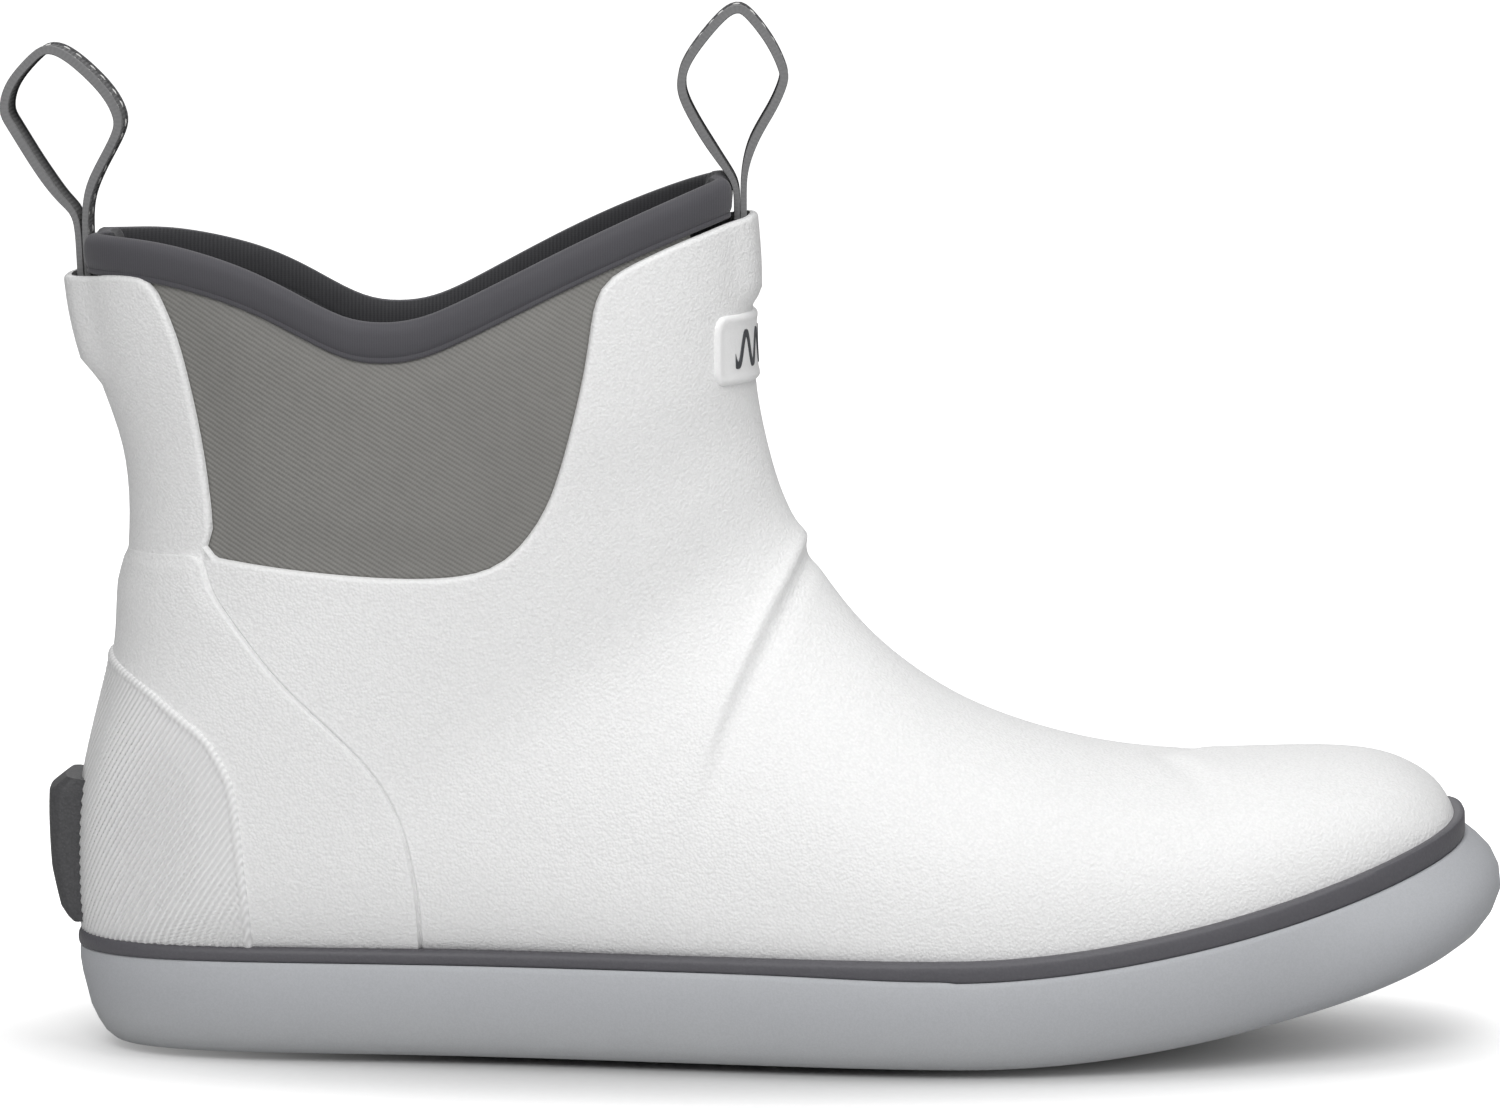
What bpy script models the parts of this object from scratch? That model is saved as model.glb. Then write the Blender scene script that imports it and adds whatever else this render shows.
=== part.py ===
"""A right-foot slip-on deck boot: rubber shell over a neoprene bootie, cup outsole, two pull loops.

Lengths are in millimetres and become metres when a mesh is made. X runs from the back of the heel
to the toe, -Y is the outer side of the foot and +Y the inner side, and Z is up from the floor.
centre_over_origin() moves the finished boot to its place at the end.
"""

import math

import bmesh
import bpy
import numpy as np
from mathutils import Matrix, Vector

MM = 0.001

# ---- Driving sizes ----
SOLE_LENGTH = 305.5        # back of the heel to the tip of the toe, over the outsole
SHAFT_HEIGHT = 187.0       # floor to the top of the collar at the front
BALL_WIDTH = 94.0          # widest part of the rubber upper
SHAFT_WIDTH = 85.0         # side to side over the shaft at the collar

FIT = 0.3                  # the gap that touching pieces keep
SHELL_WALL = 1.8
NEOPRENE_WALL = 3.0
STIFFENER_WALL = 1.1       # toe puff and heel counter
QUARTER_WALL = 0.9         # moulded panel round the back of the foot
PATCH_WALL = 1.1           # ribbed heel patch let into it

RIM_HEIGHT = 25.2          # top of the foxing stripe over the floor, at the heel
RIM_TOE_RISE = 3.6         # the sidewall is this much taller at the toe
STRIPE_HEIGHT = 3.1
STRIPE_WALL = 2.4
SOLE_BASE = 1.6            # bottom of the sidewall over the floor
TOE_SPRING = 25.5          # rise of the sole at the tip of the toe
SPRING_START = 187.0
TREAD_DEPTH = 3.4
TREAD_MARGIN = 5.0
GROOVE_DEPTH = 1.6
GROOVE_WIDTH = 1.7
GROOVE_PITCH = 9.0
HEEL_FLOOR, BALL_FLOOR = 8.0, 6.0      # top of the outsole's floor
HEEL_FOAM, BALL_FOAM = 7.8, 4.8        # midsole thickness under the foot
FOAM_INSET = 7.0
BOARD_WALL = 1.6
FOOTBED_WALL = 4.0
COVER_WALL = 1.0

BAND_HEIGHT = 7.8          # collar binding
BAND_WALL = 0.8
STRAP_WALL = 1.35
STRAP_WIDTH = 16.0
TAIL_LENGTH = 26.0         # webbing sewn in below the top of the shell
HINGE_RISE = 1.9           # loop hinge over the collar
LOOP_HEIGHT = 35.0
FRONT_LOOP_REACH, REAR_LOOP_REACH = 11.0, 12.6     # half of each loop's width, seen from the side
REAR_LOOP_LEAN = -9.0      # degrees off upright

KICK_DEPTH = 6.0
KICK_BOTTOM, KICK_TOP = 27.4, 57.6
KICK_WIDTH = 20.0
BADGE_BOTTOM, BADGE_TOP = 143.5, 157.7
BADGE_WIDTH = 48.0
BADGE_WALL = 0.9

# ---- The size at which the stations and outlines below are drawn ----
DRAWN_LENGTH, DRAWN_HEIGHT, DRAWN_ANKLE = 305.5, 187.0, 100.0
DRAWN_BALL, DRAWN_SHAFT = 94.0, 85.0

# Cross-sections of the shell's outside, from the tip of the toe to above the collar. Each lies in a
# plane across the boot, from a point on the sole or the back to one on the vamp or the front:
# back x, z, front x, z, outer and inner half width, centre y, corner power low and high, widest at
STATIONS = (
    (296.8, 41.5, 296.8, 42.5, 0.6, 0.6, 8.0, 2.0, 2.0, 0.50),
    (295.6, 37.6, 296.2, 47.0, 12.0, 11.5, 8.0, 2.1, 2.1, 0.50),
    (293.0, 34.6, 293.8, 52.8, 20.0, 18.5, 7.6, 2.2, 2.2, 0.48),
    (288.8, 31.4, 289.4, 57.2, 27.0, 24.5, 7.2, 2.3, 2.3, 0.45),
    (281.8, 27.4, 281.8, 60.6, 33.5, 30.5, 6.6, 2.5, 2.5, 0.42),
    (271.5, 23.2, 271.0, 62.0, 39.2, 36.2, 5.6, 2.6, 2.6, 0.38),
    (257.0, 19.2, 256.5, 62.0, 43.6, 40.4, 4.2, 2.7, 2.6, 0.35),
    (240.0, 15.4, 240.5, 61.9, 46.2, 43.2, 2.6, 2.8, 2.4, 0.33),
    (220.0, 12.6, 222.0, 63.8, 47.8, 44.6, 0.8, 2.8, 2.3, 0.32),
    (198.0, 11.2, 204.0, 68.6, 48.2, 43.6, -1.0, 2.8, 2.1, 0.31),
    (172.0, 11.4, 189.0, 74.9, 46.8, 41.0, -2.2, 2.8, 2.0, 0.31),
    (140.0, 13.2, 177.0, 82.6, 43.6, 38.4, -2.6, 2.8, 2.0, 0.34),
    (100.0, 15.4, 168.0, 90.6, 40.4, 36.8, -2.0, 2.8, 2.0, 0.38),
    (58.0, 16.2, 161.2, 98.8, 38.2, 36.6, -1.0, 2.7, 2.0, 0.42),
    (22.0, 17.2, 155.8, 106.8, 37.2, 36.8, -0.3, 2.5, 2.1, 0.44),
    (3.4, 25.4, 152.2, 114.0, 37.6, 37.4, 0.0, 2.35, 2.1, 0.45),
    (0.2, 39.0, 149.8, 120.4, 38.2, 38.0, 0.0, 2.3, 2.15, 0.46),
    (1.0, 54.0, 148.0, 126.8, 38.8, 38.8, 0.0, 2.3, 2.2, 0.47),
    (4.3, 70.0, 146.5, 133.2, 39.4, 39.4, 0.0, 2.3, 2.2, 0.48),
    (7.9, 85.5, 145.3, 139.8, 40.0, 40.0, 0.0, 2.3, 2.25, 0.49),
    (10.0, 100.5, 144.6, 146.6, 40.7, 40.7, 0.0, 2.3, 2.3, 0.50),
    (10.9, 115.0, 144.5, 153.6, 41.3, 41.3, 0.0, 2.3, 2.3, 0.50),
    (9.6, 129.0, 145.2, 161.0, 41.7, 41.7, 0.0, 2.3, 2.3, 0.50),
    (5.0, 142.0, 145.6, 168.6, 42.1, 42.1, 0.0, 2.3, 2.3, 0.50),
    (-0.4, 154.5, 145.0, 176.4, 42.4, 42.4, 0.0, 2.3, 2.3, 0.50),
    (-2.4, 167.0, 144.2, 184.4, 42.6, 42.6, 0.0, 2.3, 2.3, 0.50),
    (-2.4, 180.0, 143.6, 193.0, 42.7, 42.7, 0.0, 2.3, 2.3, 0.50),
    (-2.2, 194.0, 143.0, 203.0, 42.7, 42.7, 0.0, 2.3, 2.3, 0.50),
)
FLAT_STATIONS = slice(5, 15)              # these rest on the midsole
BALL_STATION, ANKLE_STATION = 11, 20      # the ball's width rules up to one, the shaft's from the other
SHAFT_START = 18                          # above this one the rows bend towards the collar line

# The collar's top edge from the side, back to front
COLLAR = ((-8, 175.2), (10, 174.8), (24, 173.0), (38, 168.6), (50, 162.4), (60, 158.6), (68, 157.8),
          (78, 159.4), (90, 165.0), (104, 172.0), (120, 179.4), (136, 185.4), (150, 188.6))
# The window in the shell, down its back edge, along the bottom and up its front edge
WINDOW = ((18.6, 192), (19.2, 166), (24.4, 148), (28.4, 128), (29.4, 108.6), (44, 106.6), (62, 105.0),
          (79, 104.5), (89.6, 106.4), (97, 112.4), (103, 124), (107.6, 140), (111.4, 158),
          (115, 167.4), (121, 172), (123, 194))
# Front edge of the rear quarter, from its top at the back down to the stripe
QUARTER = ((-30, 108.4), (10, 108.6), (22, 108.4), (28.6, 106.4), (31.6, 99.5), (38.6, 89.2),
           (51.2, 75.6), (63.2, 63.8), (70.8, 49), (73.6, 34), (74, 5))
# Upper edge of the heel patch, from the back down to the stripe
PATCH = ((-30, 86.8), (5, 86.4), (15.4, 80.8), (24.4, 74.6), (32.4, 66), (36, 54), (37.4, 40), (38.8, 5))
# Sidewall from the floor up: share of its height, then outward from the upper's edge at the sides,
# and what the heel and the toe add
SIDEWALL = ((0.0, -4.0, -1.6, 5.2), (0.09, -0.4, -0.8, 7.4), (0.34, 2.6, -0.6, 7.8),
            (0.68, 3.7, -0.2, 4.4), (1.0, 2.6, 0.8, 0.4))
# Half of a pull loop's middle line: share of its reach, share of its height
LOOP_LINE = ((0.0, 0.0), (0.1, 0.07), (0.42, 0.22), (0.8, 0.4), (1.0, 0.55), (0.93, 0.68),
             (0.66, 0.84), (0.3, 0.96), (0.0, 1.0))

FOOT_ROWS, SHAFT_ROWS, COLUMNS = 18, 6, 28
FRONT = COLUMNS / 2        # the column up the front; column 0 runs under the sole and up the back
SOLE_STEPS = 36

BOOTIE_OUTER = -(SHELL_WALL + FIT)
TAIL_WALL = 2 * STRAP_WALL

BOOT = bpy.data.collections.new("deck_boot")
CUTTERS = bpy.data.collections.new("cutters")


# ---- Curves ----
def natural_spline(values, samples):
    """Values given at 0, 1, 2 ... read off a natural cubic spline at the samples."""
    values = np.asarray(values, float)
    count = len(values)
    system = np.eye(count)
    right = np.zeros_like(values)
    for i in range(1, count - 1):
        system[i, i - 1:i + 2] = (1, 4, 1)
        right[i] = 6 * (values[i + 1] - 2 * values[i] + values[i - 1])
    bend = np.linalg.solve(system, right)
    samples = np.clip(np.asarray(samples, float), 0, count - 1 - 1e-9)
    i = samples.astype(int)
    t = (samples - i).reshape(samples.shape + (1,) * (values.ndim - 1))
    return (values[i] * (1 - t) + values[i + 1] * t
            + ((1 - t) ** 3 - (1 - t)) * bend[i] / 6 + (t ** 3 - t) * bend[i + 1] / 6)


def drawn_x(x):
    return np.asarray(x, float) * SOLE_LENGTH / DRAWN_LENGTH


def drawn_z(z):
    stretch = (SHAFT_HEIGHT - DRAWN_ANKLE) / (DRAWN_HEIGHT - DRAWN_ANKLE)
    z = np.asarray(z, float)
    return np.where(z > DRAWN_ANKLE, DRAWN_ANKLE + (z - DRAWN_ANKLE) * stretch, z)


def side_curve(points, steps):
    """A smooth curve through points of the side view, as (x, z) pairs."""
    curve = natural_spline(points, np.linspace(0, len(points) - 1, steps * (len(points) - 1) + 1))
    return np.column_stack([drawn_x(curve[:, 0]), drawn_z(curve[:, 1])])


def moved_sideways(line, by):
    """A polyline moved to the left of its run by a distance, or one for each point."""
    tangent = np.gradient(line, axis=0)
    tangent /= np.linalg.norm(tangent, axis=1, keepdims=True)
    normal = np.column_stack([-tangent[:, 1], tangent[:, 0]])
    return line + normal * np.reshape(by, (-1, 1))


def smooth_step(t):
    t = np.clip(t, 0, 1)
    return t * t * (3 - 2 * t)


def spring(x):
    """Rise of the sole over the floor, forward of the ball."""
    ahead = np.maximum(np.asarray(x, float) - drawn_x(SPRING_START), 0)
    return TOE_SPRING * (ahead / (SOLE_LENGTH - drawn_x(SPRING_START))) ** 2


def heel_to_ball(x, heel, ball):
    """A height that changes from the heel to the ball and then follows the toe spring."""
    return heel + (ball - heel) * smooth_step((x - drawn_x(60)) / drawn_x(120)) + spring(x)


def rim_z(x):
    return RIM_HEIGHT + RIM_TOE_RISE * smooth_step((x - drawn_x(170)) / drawn_x(120)) + spring(x)


def floor_z(x):
    return heel_to_ball(x, HEEL_FLOOR, BALL_FLOOR)


def foam_z(x):
    return heel_to_ball(x, HEEL_FLOOR + FIT + HEEL_FOAM, BALL_FLOOR + FIT + BALL_FOAM)


def collar_z(x):
    curve = side_curve(COLLAR, 8)
    return np.interp(x, curve[:, 0], curve[:, 1])


# ---- The upper's surface ----
def placed_stations():
    """The stations at the driving sizes, with the flat ones resting on the midsole."""
    table = np.array(STATIONS, float)
    share = np.clip((np.arange(len(table)) - BALL_STATION) / (ANKLE_STATION - BALL_STATION), 0, 1)
    width = BALL_WIDTH / DRAWN_BALL * (1 - share) + SHAFT_WIDTH / DRAWN_SHAFT * share
    table[:, 4:6] *= width[:, None]
    table[:, [0, 2]] = drawn_x(table[:, [0, 2]])
    table[:, [1, 3]] = drawn_z(table[:, [1, 3]])
    table[FLAT_STATIONS, 1] = foam_z(table[FLAT_STATIONS, 0]) + FIT
    return table


def surface_point(u, v):
    """Points of the shell's outside: u counts the stations, v goes once round each."""
    values = natural_spline(PLACED, u)
    turn = 2 * math.pi * v
    along, across = -np.cos(turn), np.sin(turn)
    high = along > 0
    power = 2 / np.where(high, values[..., 8], values[..., 7])
    widest = values[..., 9]
    share = widest + np.where(high, 1 - widest, widest) * np.sign(along) * np.abs(along) ** power
    half = np.where(across > 0, values[..., 4], values[..., 5])
    y = values[..., 6] - np.sign(across) * half * np.abs(across) ** power
    x = values[..., 0] + (values[..., 2] - values[..., 0]) * share
    z = values[..., 1] + (values[..., 3] - values[..., 1]) * share
    return np.stack([x, y, z], axis=-1)


def surface_normal(u, v):
    """Outward normals, from small steps both ways along the surface."""
    along = surface_point(u + 0.02, v) - surface_point(np.maximum(u - 0.02, 0), v)
    around = surface_point(u, v + 0.004) - surface_point(u, v - 0.004)
    normal = np.cross(around, along)
    return normal / np.maximum(np.linalg.norm(normal, axis=-1, keepdims=True), 1e-9)


def collar_station(v, drop):
    """For each v, the u at which the surface meets the collar line lowered by drop."""
    u = np.linspace(SHAFT_START, len(STATIONS) - 1.001, 240)
    found = []
    for one in v:
        points = surface_point(u, np.full_like(u, one))
        found.append(np.interp(0, points[:, 2] - collar_z(points[:, 0]) + drop, u))
    return np.array(found)


def lattice():
    """Points and normals of the one lattice that every layer of the upper is built on. Its last two
    rows are the lower and the upper edge of the collar binding."""
    v = np.arange(COLUMNS) / COLUMNS
    foot = np.repeat(np.linspace(0.5, SHAFT_START, FOOT_ROWS)[:, None], COLUMNS, axis=1)
    seam = collar_station(v, BAND_HEIGHT)
    share = np.arange(1, SHAFT_ROWS + 1)[:, None] / SHAFT_ROWS
    u = np.vstack([foot, SHAFT_START + (seam - SHAFT_START) * share, collar_station(v, 0)[None, :]])
    v = np.repeat(v[None, :], len(u), axis=0)
    return surface_point(u, v), surface_normal(u, v)


def mixed(grid, row, column):
    """Values between lattice points, straight along the lattice lines."""
    row, column = np.broadcast_arrays(np.asarray(row, float), np.asarray(column, float))
    r = np.clip(row.astype(int), 0, len(grid) - 2)
    c = np.floor(column).astype(int)
    shape = row.shape + (1,) * (grid.ndim - 2)
    s, t = (row - r).reshape(shape), (column - c).reshape(shape)
    near, far = c % COLUMNS, (c + 1) % COLUMNS
    low = grid[r, near] * (1 - t) + grid[r, far] * t
    return low * (1 - s) + (grid[r + 1, near] * (1 - t) + grid[r + 1, far] * t) * s


def on_form(row, column, offset):
    """Points at fractional rows and columns of the lattice, moved outwards by offset."""
    base = mixed(BASE, row, column)
    return base + mixed(NORMAL, row, column) * np.broadcast_to(offset, base.shape[:-1])[..., None]


def foot_row(u):
    """The lattice row of a station."""
    return (u - 0.5) / (SHAFT_START - 0.5) * (FOOT_ROWS - 1)


def row_at(z, column):
    """The row at which one column reaches a height, on the back or the front of the boot."""
    first = int(foot_row(14.5)) if column == 0 else int(foot_row(9.5))
    heights = BASE[first:, int(column), 2]
    return float(np.interp(z, heights, np.arange(first, first + len(heights))))


def grid_between(rows, columns):
    """Rows and columns of a patch: its own edges and every lattice line between them."""
    low, high = rows
    row = [low, *range(math.floor(low) + 1, math.ceil(high)), high]
    low, high = columns
    column = [low, *range(math.floor(low) + 1, math.ceil(high)), high]
    return np.meshgrid(np.array(row, float), np.array(column, float), indexing="ij")


def columns_wide(width, row, middle):
    """The two columns between which a patch is this wide, about a middle one."""
    steps = np.linspace(0, 6, 121)
    points = on_form(np.full_like(steps, row), middle + steps, 0.0)
    run = np.concatenate([[0], np.cumsum(np.linalg.norm(np.diff(points, axis=0), axis=1))])
    reach = float(np.interp(width / 2, run, steps))
    return middle - reach, middle + reach


# ---- Bootie offsets, which leave room for the stiffeners and the sewn-in webbing ----
TOE_PUFF_ROWS, TOE_PUFF_COLUMNS = (1, 5), (6, COLUMNS - 6)
COUNTER_ROWS, COUNTER_COLUMNS = (14, 17), (-5, 5)


def pocket_depth():
    """How much deeper than elsewhere the bootie lies at each lattice point."""
    depth = np.zeros(BASE.shape[:2])
    stiffener = STIFFENER_WALL + FIT
    for (r0, r1), (c0, c1) in ((TOE_PUFF_ROWS, TOE_PUFF_COLUMNS), (COUNTER_ROWS, COUNTER_COLUMNS)):
        columns = np.arange(c0 - 1, c1 + 2) % COLUMNS
        depth[r0 - 1:r1 + 2, columns] = stiffener
    for middle in (0, int(FRONT)):
        lowest = int(row_at(BASE[-2, middle, 2] - TAIL_LENGTH, middle)) - 1
        columns = np.arange(middle - 1, middle + 2) % COLUMNS
        depth[lowest:, columns] = TAIL_WALL + BAND_WALL + 2 * FIT
    return depth


# ---- Meshes and objects ----
def material(name, colour, roughness):
    found = bpy.data.materials.get(name)
    if found:
        return found
    made = bpy.data.materials.new(name)
    made.use_nodes = True
    shader = made.node_tree.nodes["Principled BSDF"]
    shader.inputs["Base Color"].default_value = (*colour, 1)
    shader.inputs["Roughness"].default_value = roughness
    shader.inputs["Metallic"].default_value = 0.0
    return made


def add_object(name, bm, finish, collection=BOOT):
    bmesh.ops.recalc_face_normals(bm, faces=bm.faces)
    mesh = bpy.data.meshes.new(name)
    bm.to_mesh(mesh)
    bm.free()
    mesh.transform(Matrix.Scale(MM, 4))
    obj = bpy.data.objects.new(name, mesh)
    collection.objects.link(obj)
    obj.data.materials.append(finish)
    return obj


def add_cutter(name, bm):
    obj = add_object(name, bm, material("cutter", (0.8, 0.1, 0.1), 0.5), CUTTERS)
    obj.hide_render = True
    obj.display_type = "WIRE"
    return obj


def combine(obj, operation, *tools):
    for tool in tools:
        modifier = obj.modifiers.new(tool.name, "BOOLEAN")
        modifier.operation = operation
        modifier.object = tool
        modifier.solver = "EXACT"
    return obj


def add_triangles(bm, low, high, closed):
    """Two triangles for each step along a pair of vertex rows, always split the same way."""
    count = len(low)
    for j in range(count if closed else count - 1):
        k = (j + 1) % count
        bm.faces.new((low[j], low[k], high[k]))
        bm.faces.new((low[j], high[k], high[j]))


def vertex_rows(bm, points):
    return [[bm.verts.new(p) for p in row] for row in points]


def close_ring(bm, ring):
    """A fan of triangles over a ring of vertices."""
    centre = bm.verts.new(sum((v.co for v in ring), Vector()) / len(ring))
    for j, vert in enumerate(ring):
        bm.faces.new((vert, ring[(j + 1) % len(ring)], centre))


def layer(outer, inner, last_row):
    """A wall of the upper between two offsets, closed at the toe and open at the top."""
    rows = np.append(np.arange(math.ceil(last_row)), last_row)
    row, column = np.meshgrid(rows, np.arange(COLUMNS, dtype=float), indexing="ij")
    bm = bmesh.new()
    sheets = []
    for offset in (outer, inner):
        if np.ndim(offset):
            offset = np.vstack([offset[:len(rows) - 1], offset[-1:]])
        sheet = vertex_rows(bm, on_form(row, column, offset))
        for low, high in zip(sheet, sheet[1:]):
            add_triangles(bm, low, high, True)
        close_ring(bm, sheet[0])
        sheets.append(sheet)
    add_triangles(bm, sheets[0][-1], sheets[1][-1], True)
    return bm


def form(offset):
    """The whole upper as one solid, grown by offset."""
    row, column = np.meshgrid(np.arange(len(BASE), dtype=float), np.arange(COLUMNS, dtype=float),
                              indexing="ij")
    bm = bmesh.new()
    sheet = vertex_rows(bm, on_form(row, column, offset))
    for low, high in zip(sheet, sheet[1:]):
        add_triangles(bm, low, high, True)
    close_ring(bm, sheet[0])
    close_ring(bm, sheet[-1])
    return bm


def plate(rows, columns, outer, inner):
    """A closed plate over a patch of the lattice, between two offsets."""
    row, column = grid_between(rows, columns)
    bm = bmesh.new()
    sheets = []
    for offset in (outer, inner):
        if callable(offset):
            offset = offset(row, column)
        sheet = vertex_rows(bm, on_form(row, column, offset))
        for low, high in zip(sheet, sheet[1:]):
            add_triangles(bm, low, high, False)
        sheets.append(sheet)
    edges = []
    for sheet in sheets:
        last = len(sheet[0]) - 1
        edges.append(sheet[0][:-1] + [line[last] for line in sheet[:-1]]
                     + sheet[-1][:0:-1] + [line[0] for line in sheet[:0:-1]])
    add_triangles(bm, edges[0], edges[1], True)
    return bm


def side_prism(outline, y_low, y_high):
    """A closed outline of the side view, run straight across the boot."""
    bm = bmesh.new()
    bm.faces.new([bm.verts.new((x, y_low, z)) for x, z in outline])
    moved = bmesh.ops.extrude_face_region(bm, geom=list(bm.faces))
    far = [v for v in moved["geom"] if isinstance(v, bmesh.types.BMVert)]
    bmesh.ops.translate(bm, verts=far, vec=(0, y_high - y_low, 0))
    return bm


# ---- Sole outlines, which all follow the upper ----
def upper_edge():
    """Where the upper meets the top of the stripe, seen from above: one run for each side, each as
    (x, y) from the toe to the heel."""
    runs = []
    u = np.linspace(1.0, 16.5, 240)
    for start in (0.0, 1.0):
        grid_u, grid_v = np.meshgrid(u, np.linspace(start, 0.5, 200), indexing="ij")
        points = surface_point(grid_u, grid_v)
        above = points[..., 2] - rim_z(points[..., 0])
        run = []
        for line, height in zip(points, above):
            crossing = np.nonzero((height[:-1] < 0) & (height[1:] >= 0))[0]
            if len(crossing):
                i = crossing[0]
                t = height[i] / (height[i] - height[i + 1])
                run.append(line[i, :2] * (1 - t) + line[i + 1, :2] * t)
        runs.append(np.array(run))
    return runs


def plan_outline(grow, start=None, stop=None):
    """The upper's edge moved outwards by grow(x): x, and the outer and inner sides' y. It may be cut
    straight across at a start or a stop."""
    loop = np.vstack([EDGE[0][::-1], EDGE[1]])
    ahead, behind = np.roll(loop, -3, axis=0), np.roll(loop, 3, axis=0)
    tangent = (ahead - behind) / np.linalg.norm(ahead - behind, axis=1, keepdims=True)
    moved = loop + grow(loop[:, :1]) * np.column_stack([tangent[:, 1], -tangent[:, 0]])
    moved = np.roll(moved, -int(np.argmin(moved[:, 0])), axis=0)
    tip = int(np.argmax(moved[:, 0]))
    low, high = moved[0, 0], moved[tip, 0]
    x = low + (high - low) * (1 - np.cos(np.linspace(0, math.pi, SOLE_STEPS))) / 2
    if start is not None:
        x = np.append(start, x[x > start + 1])
    if stop is not None:
        x = np.append(x[x < stop - 1], stop)
    runs = []
    for run in (moved[:tip + 1], np.vstack([moved[tip:], moved[:1]])[::-1]):
        runs.append(np.interp(x, np.maximum.accumulate(run[:, 0]), run[:, 1]))
    return x, runs[0], runs[1]


def stacked(levels, start=None, stop=None):
    """A closed solid of plan outlines at curved heights. Each level is (grow of x, height of x)."""
    bm = bmesh.new()
    rings = []
    for grow, height in levels:
        x, outer, inner = plan_outline(grow, start, stop)
        z = height(x)
        there = [bm.verts.new(p) for p in zip(x, outer, z)]
        back = [bm.verts.new(p) for p in zip(x, inner, z)]
        for end, cut in ((0, start), (-1, stop)):
            if cut is None:
                bm.verts.remove(back[end])
                back[end] = there[end]
        rings.append((there, back))
    for low, high in zip(rings, rings[1:]):
        loops = []
        for there, back in (low, high):
            loops.append(list(dict.fromkeys(there + back[::-1])))
        add_triangles(bm, loops[0], loops[1], True)
    for there, back in (rings[0], rings[-1]):
        for i in range(len(there) - 1):
            corners = dict.fromkeys([there[i], there[i + 1], back[i + 1], back[i]])
            bm.faces.new(list(corners))
    return bm


def sidewall(level):
    """Grow and height of one level of the outsole's side."""
    share, side, heel, toe = level

    def grow(x):
        return side + heel * smooth_step(1 - x / drawn_x(45)) + toe * smooth_step((x - drawn_x(250)) / drawn_x(42))

    def height(x):
        low = SOLE_BASE + spring(x)
        return low + share * (rim_z(x) - STRIPE_HEIGHT - FIT - low)

    return grow, height


def constant(value):
    return lambda x: value + 0 * x


for old in list(bpy.data.objects):
    bpy.data.objects.remove(old)
bpy.context.scene.collection.children.link(BOOT)
bpy.context.scene.collection.children.link(CUTTERS)

PLACED = placed_stations()
BASE, NORMAL = lattice()
EDGE = upper_edge()
POCKET = pocket_depth()
SEAM_ROW, TOP_ROW = len(BASE) - 2, len(BASE) - 1

WHITE = material("white_rubber", (0.86, 0.85, 0.83), 0.55)
SOLE = material("pale_sole_rubber", (0.47, 0.48, 0.50), 0.6)
TREAD = material("tread_rubber", (0.45, 0.46, 0.48), 0.65)
STRIPE = material("stripe_rubber", (0.10, 0.10, 0.115), 0.55)
KICK = material("charcoal_rubber", (0.075, 0.075, 0.08), 0.6)
MARK = material("badge_rubber", (0.82, 0.81, 0.79), 0.5)
FOAM = material("midsole_foam", (0.62, 0.62, 0.60), 0.8)
BOARD = material("board", (0.42, 0.34, 0.24), 0.85)
FOOTBED = material("footbed_foam", (0.16, 0.17, 0.19), 0.85)
COVER = material("footbed_cloth", (0.11, 0.11, 0.12), 0.9)
STIFFENER = material("stiffener", (0.35, 0.33, 0.30), 0.7)
NEOPRENE = material("neoprene", (0.05, 0.05, 0.055), 0.85)
GUSSET = material("stretch_cloth", (0.23, 0.225, 0.215), 0.85)
BINDING = material("binding_cloth", (0.08, 0.077, 0.088), 0.75)
WEBBING = material("webbing", (0.20, 0.20, 0.20), 0.8)


# ---- Sole ----
def tread_grow(x):
    return sidewall(SIDEWALL[0])[0](x) - TREAD_MARGIN


def tread(name, start, stop):
    """A grooved tread pad, and the pocket that it sits in."""
    start = None if start is None else drawn_x(start)
    stop = None if stop is None else drawn_x(stop)
    pad = stacked(((tread_grow, spring), (tread_grow, lambda x: spring(x) + TREAD_DEPTH)), start, stop)
    pad = add_object(name, pad, TREAD)
    low = None if start is None else start - 2 * FIT
    high = None if stop is None else stop + 2 * FIT
    pocket = stacked(((lambda x: tread_grow(x) + 2 * FIT, constant(-20.0)),
                      (lambda x: tread_grow(x) + 2 * FIT, lambda x: spring(x) + TREAD_DEPTH + FIT)),
                     low, high)
    first = min(v.co.x for v in pad.data.vertices) / MM + GROOVE_PITCH
    last = max(v.co.x for v in pad.data.vertices) / MM - 0.6 * GROOVE_PITCH
    comb = bmesh.new()
    for x in np.arange(first, last, GROOVE_PITCH):
        top = float(spring(x)) + GROOVE_DEPTH
        size = Matrix.Diagonal((GROOVE_WIDTH, 200, 20, 1))
        bmesh.ops.create_cube(comb, size=1, matrix=Matrix.Translation((x, 0, top - 10)) @ size)
    combine(pad, "DIFFERENCE", add_cutter(name + "_grooves", comb))
    return add_cutter(name + "_pocket", pocket)


def sole_pieces():
    upper = add_cutter("upper_space", form(FIT))
    heel_pocket = tread("heel_tread", None, 84)
    ball_pocket = tread("forefoot_tread", 138, None)
    well = stacked(((constant(-FOAM_INSET), floor_z), (constant(-FOAM_INSET), lambda x: foam_z(x) + 9)))
    well = add_cutter("midsole_well", well)
    outsole = add_object("outsole", stacked([sidewall(level) for level in SIDEWALL]), SOLE)
    combine(outsole, "DIFFERENCE", upper, well, heel_pocket, ball_pocket)

    inset = constant(-FOAM_INSET - 1.5 * FIT)
    midsole = stacked(((inset, lambda x: floor_z(x) + FIT), (inset, lambda x: foam_z(x) + 4.5)))
    combine(add_object("midsole", midsole, FOAM), "DIFFERENCE", upper)

    stripe = stacked(((constant(STRIPE_WALL), lambda x: rim_z(x) - STRIPE_HEIGHT),
                      (constant(STRIPE_WALL), rim_z)))
    combine(add_object("foxing_stripe", stripe, STRIPE), "DIFFERENCE", upper)


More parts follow.
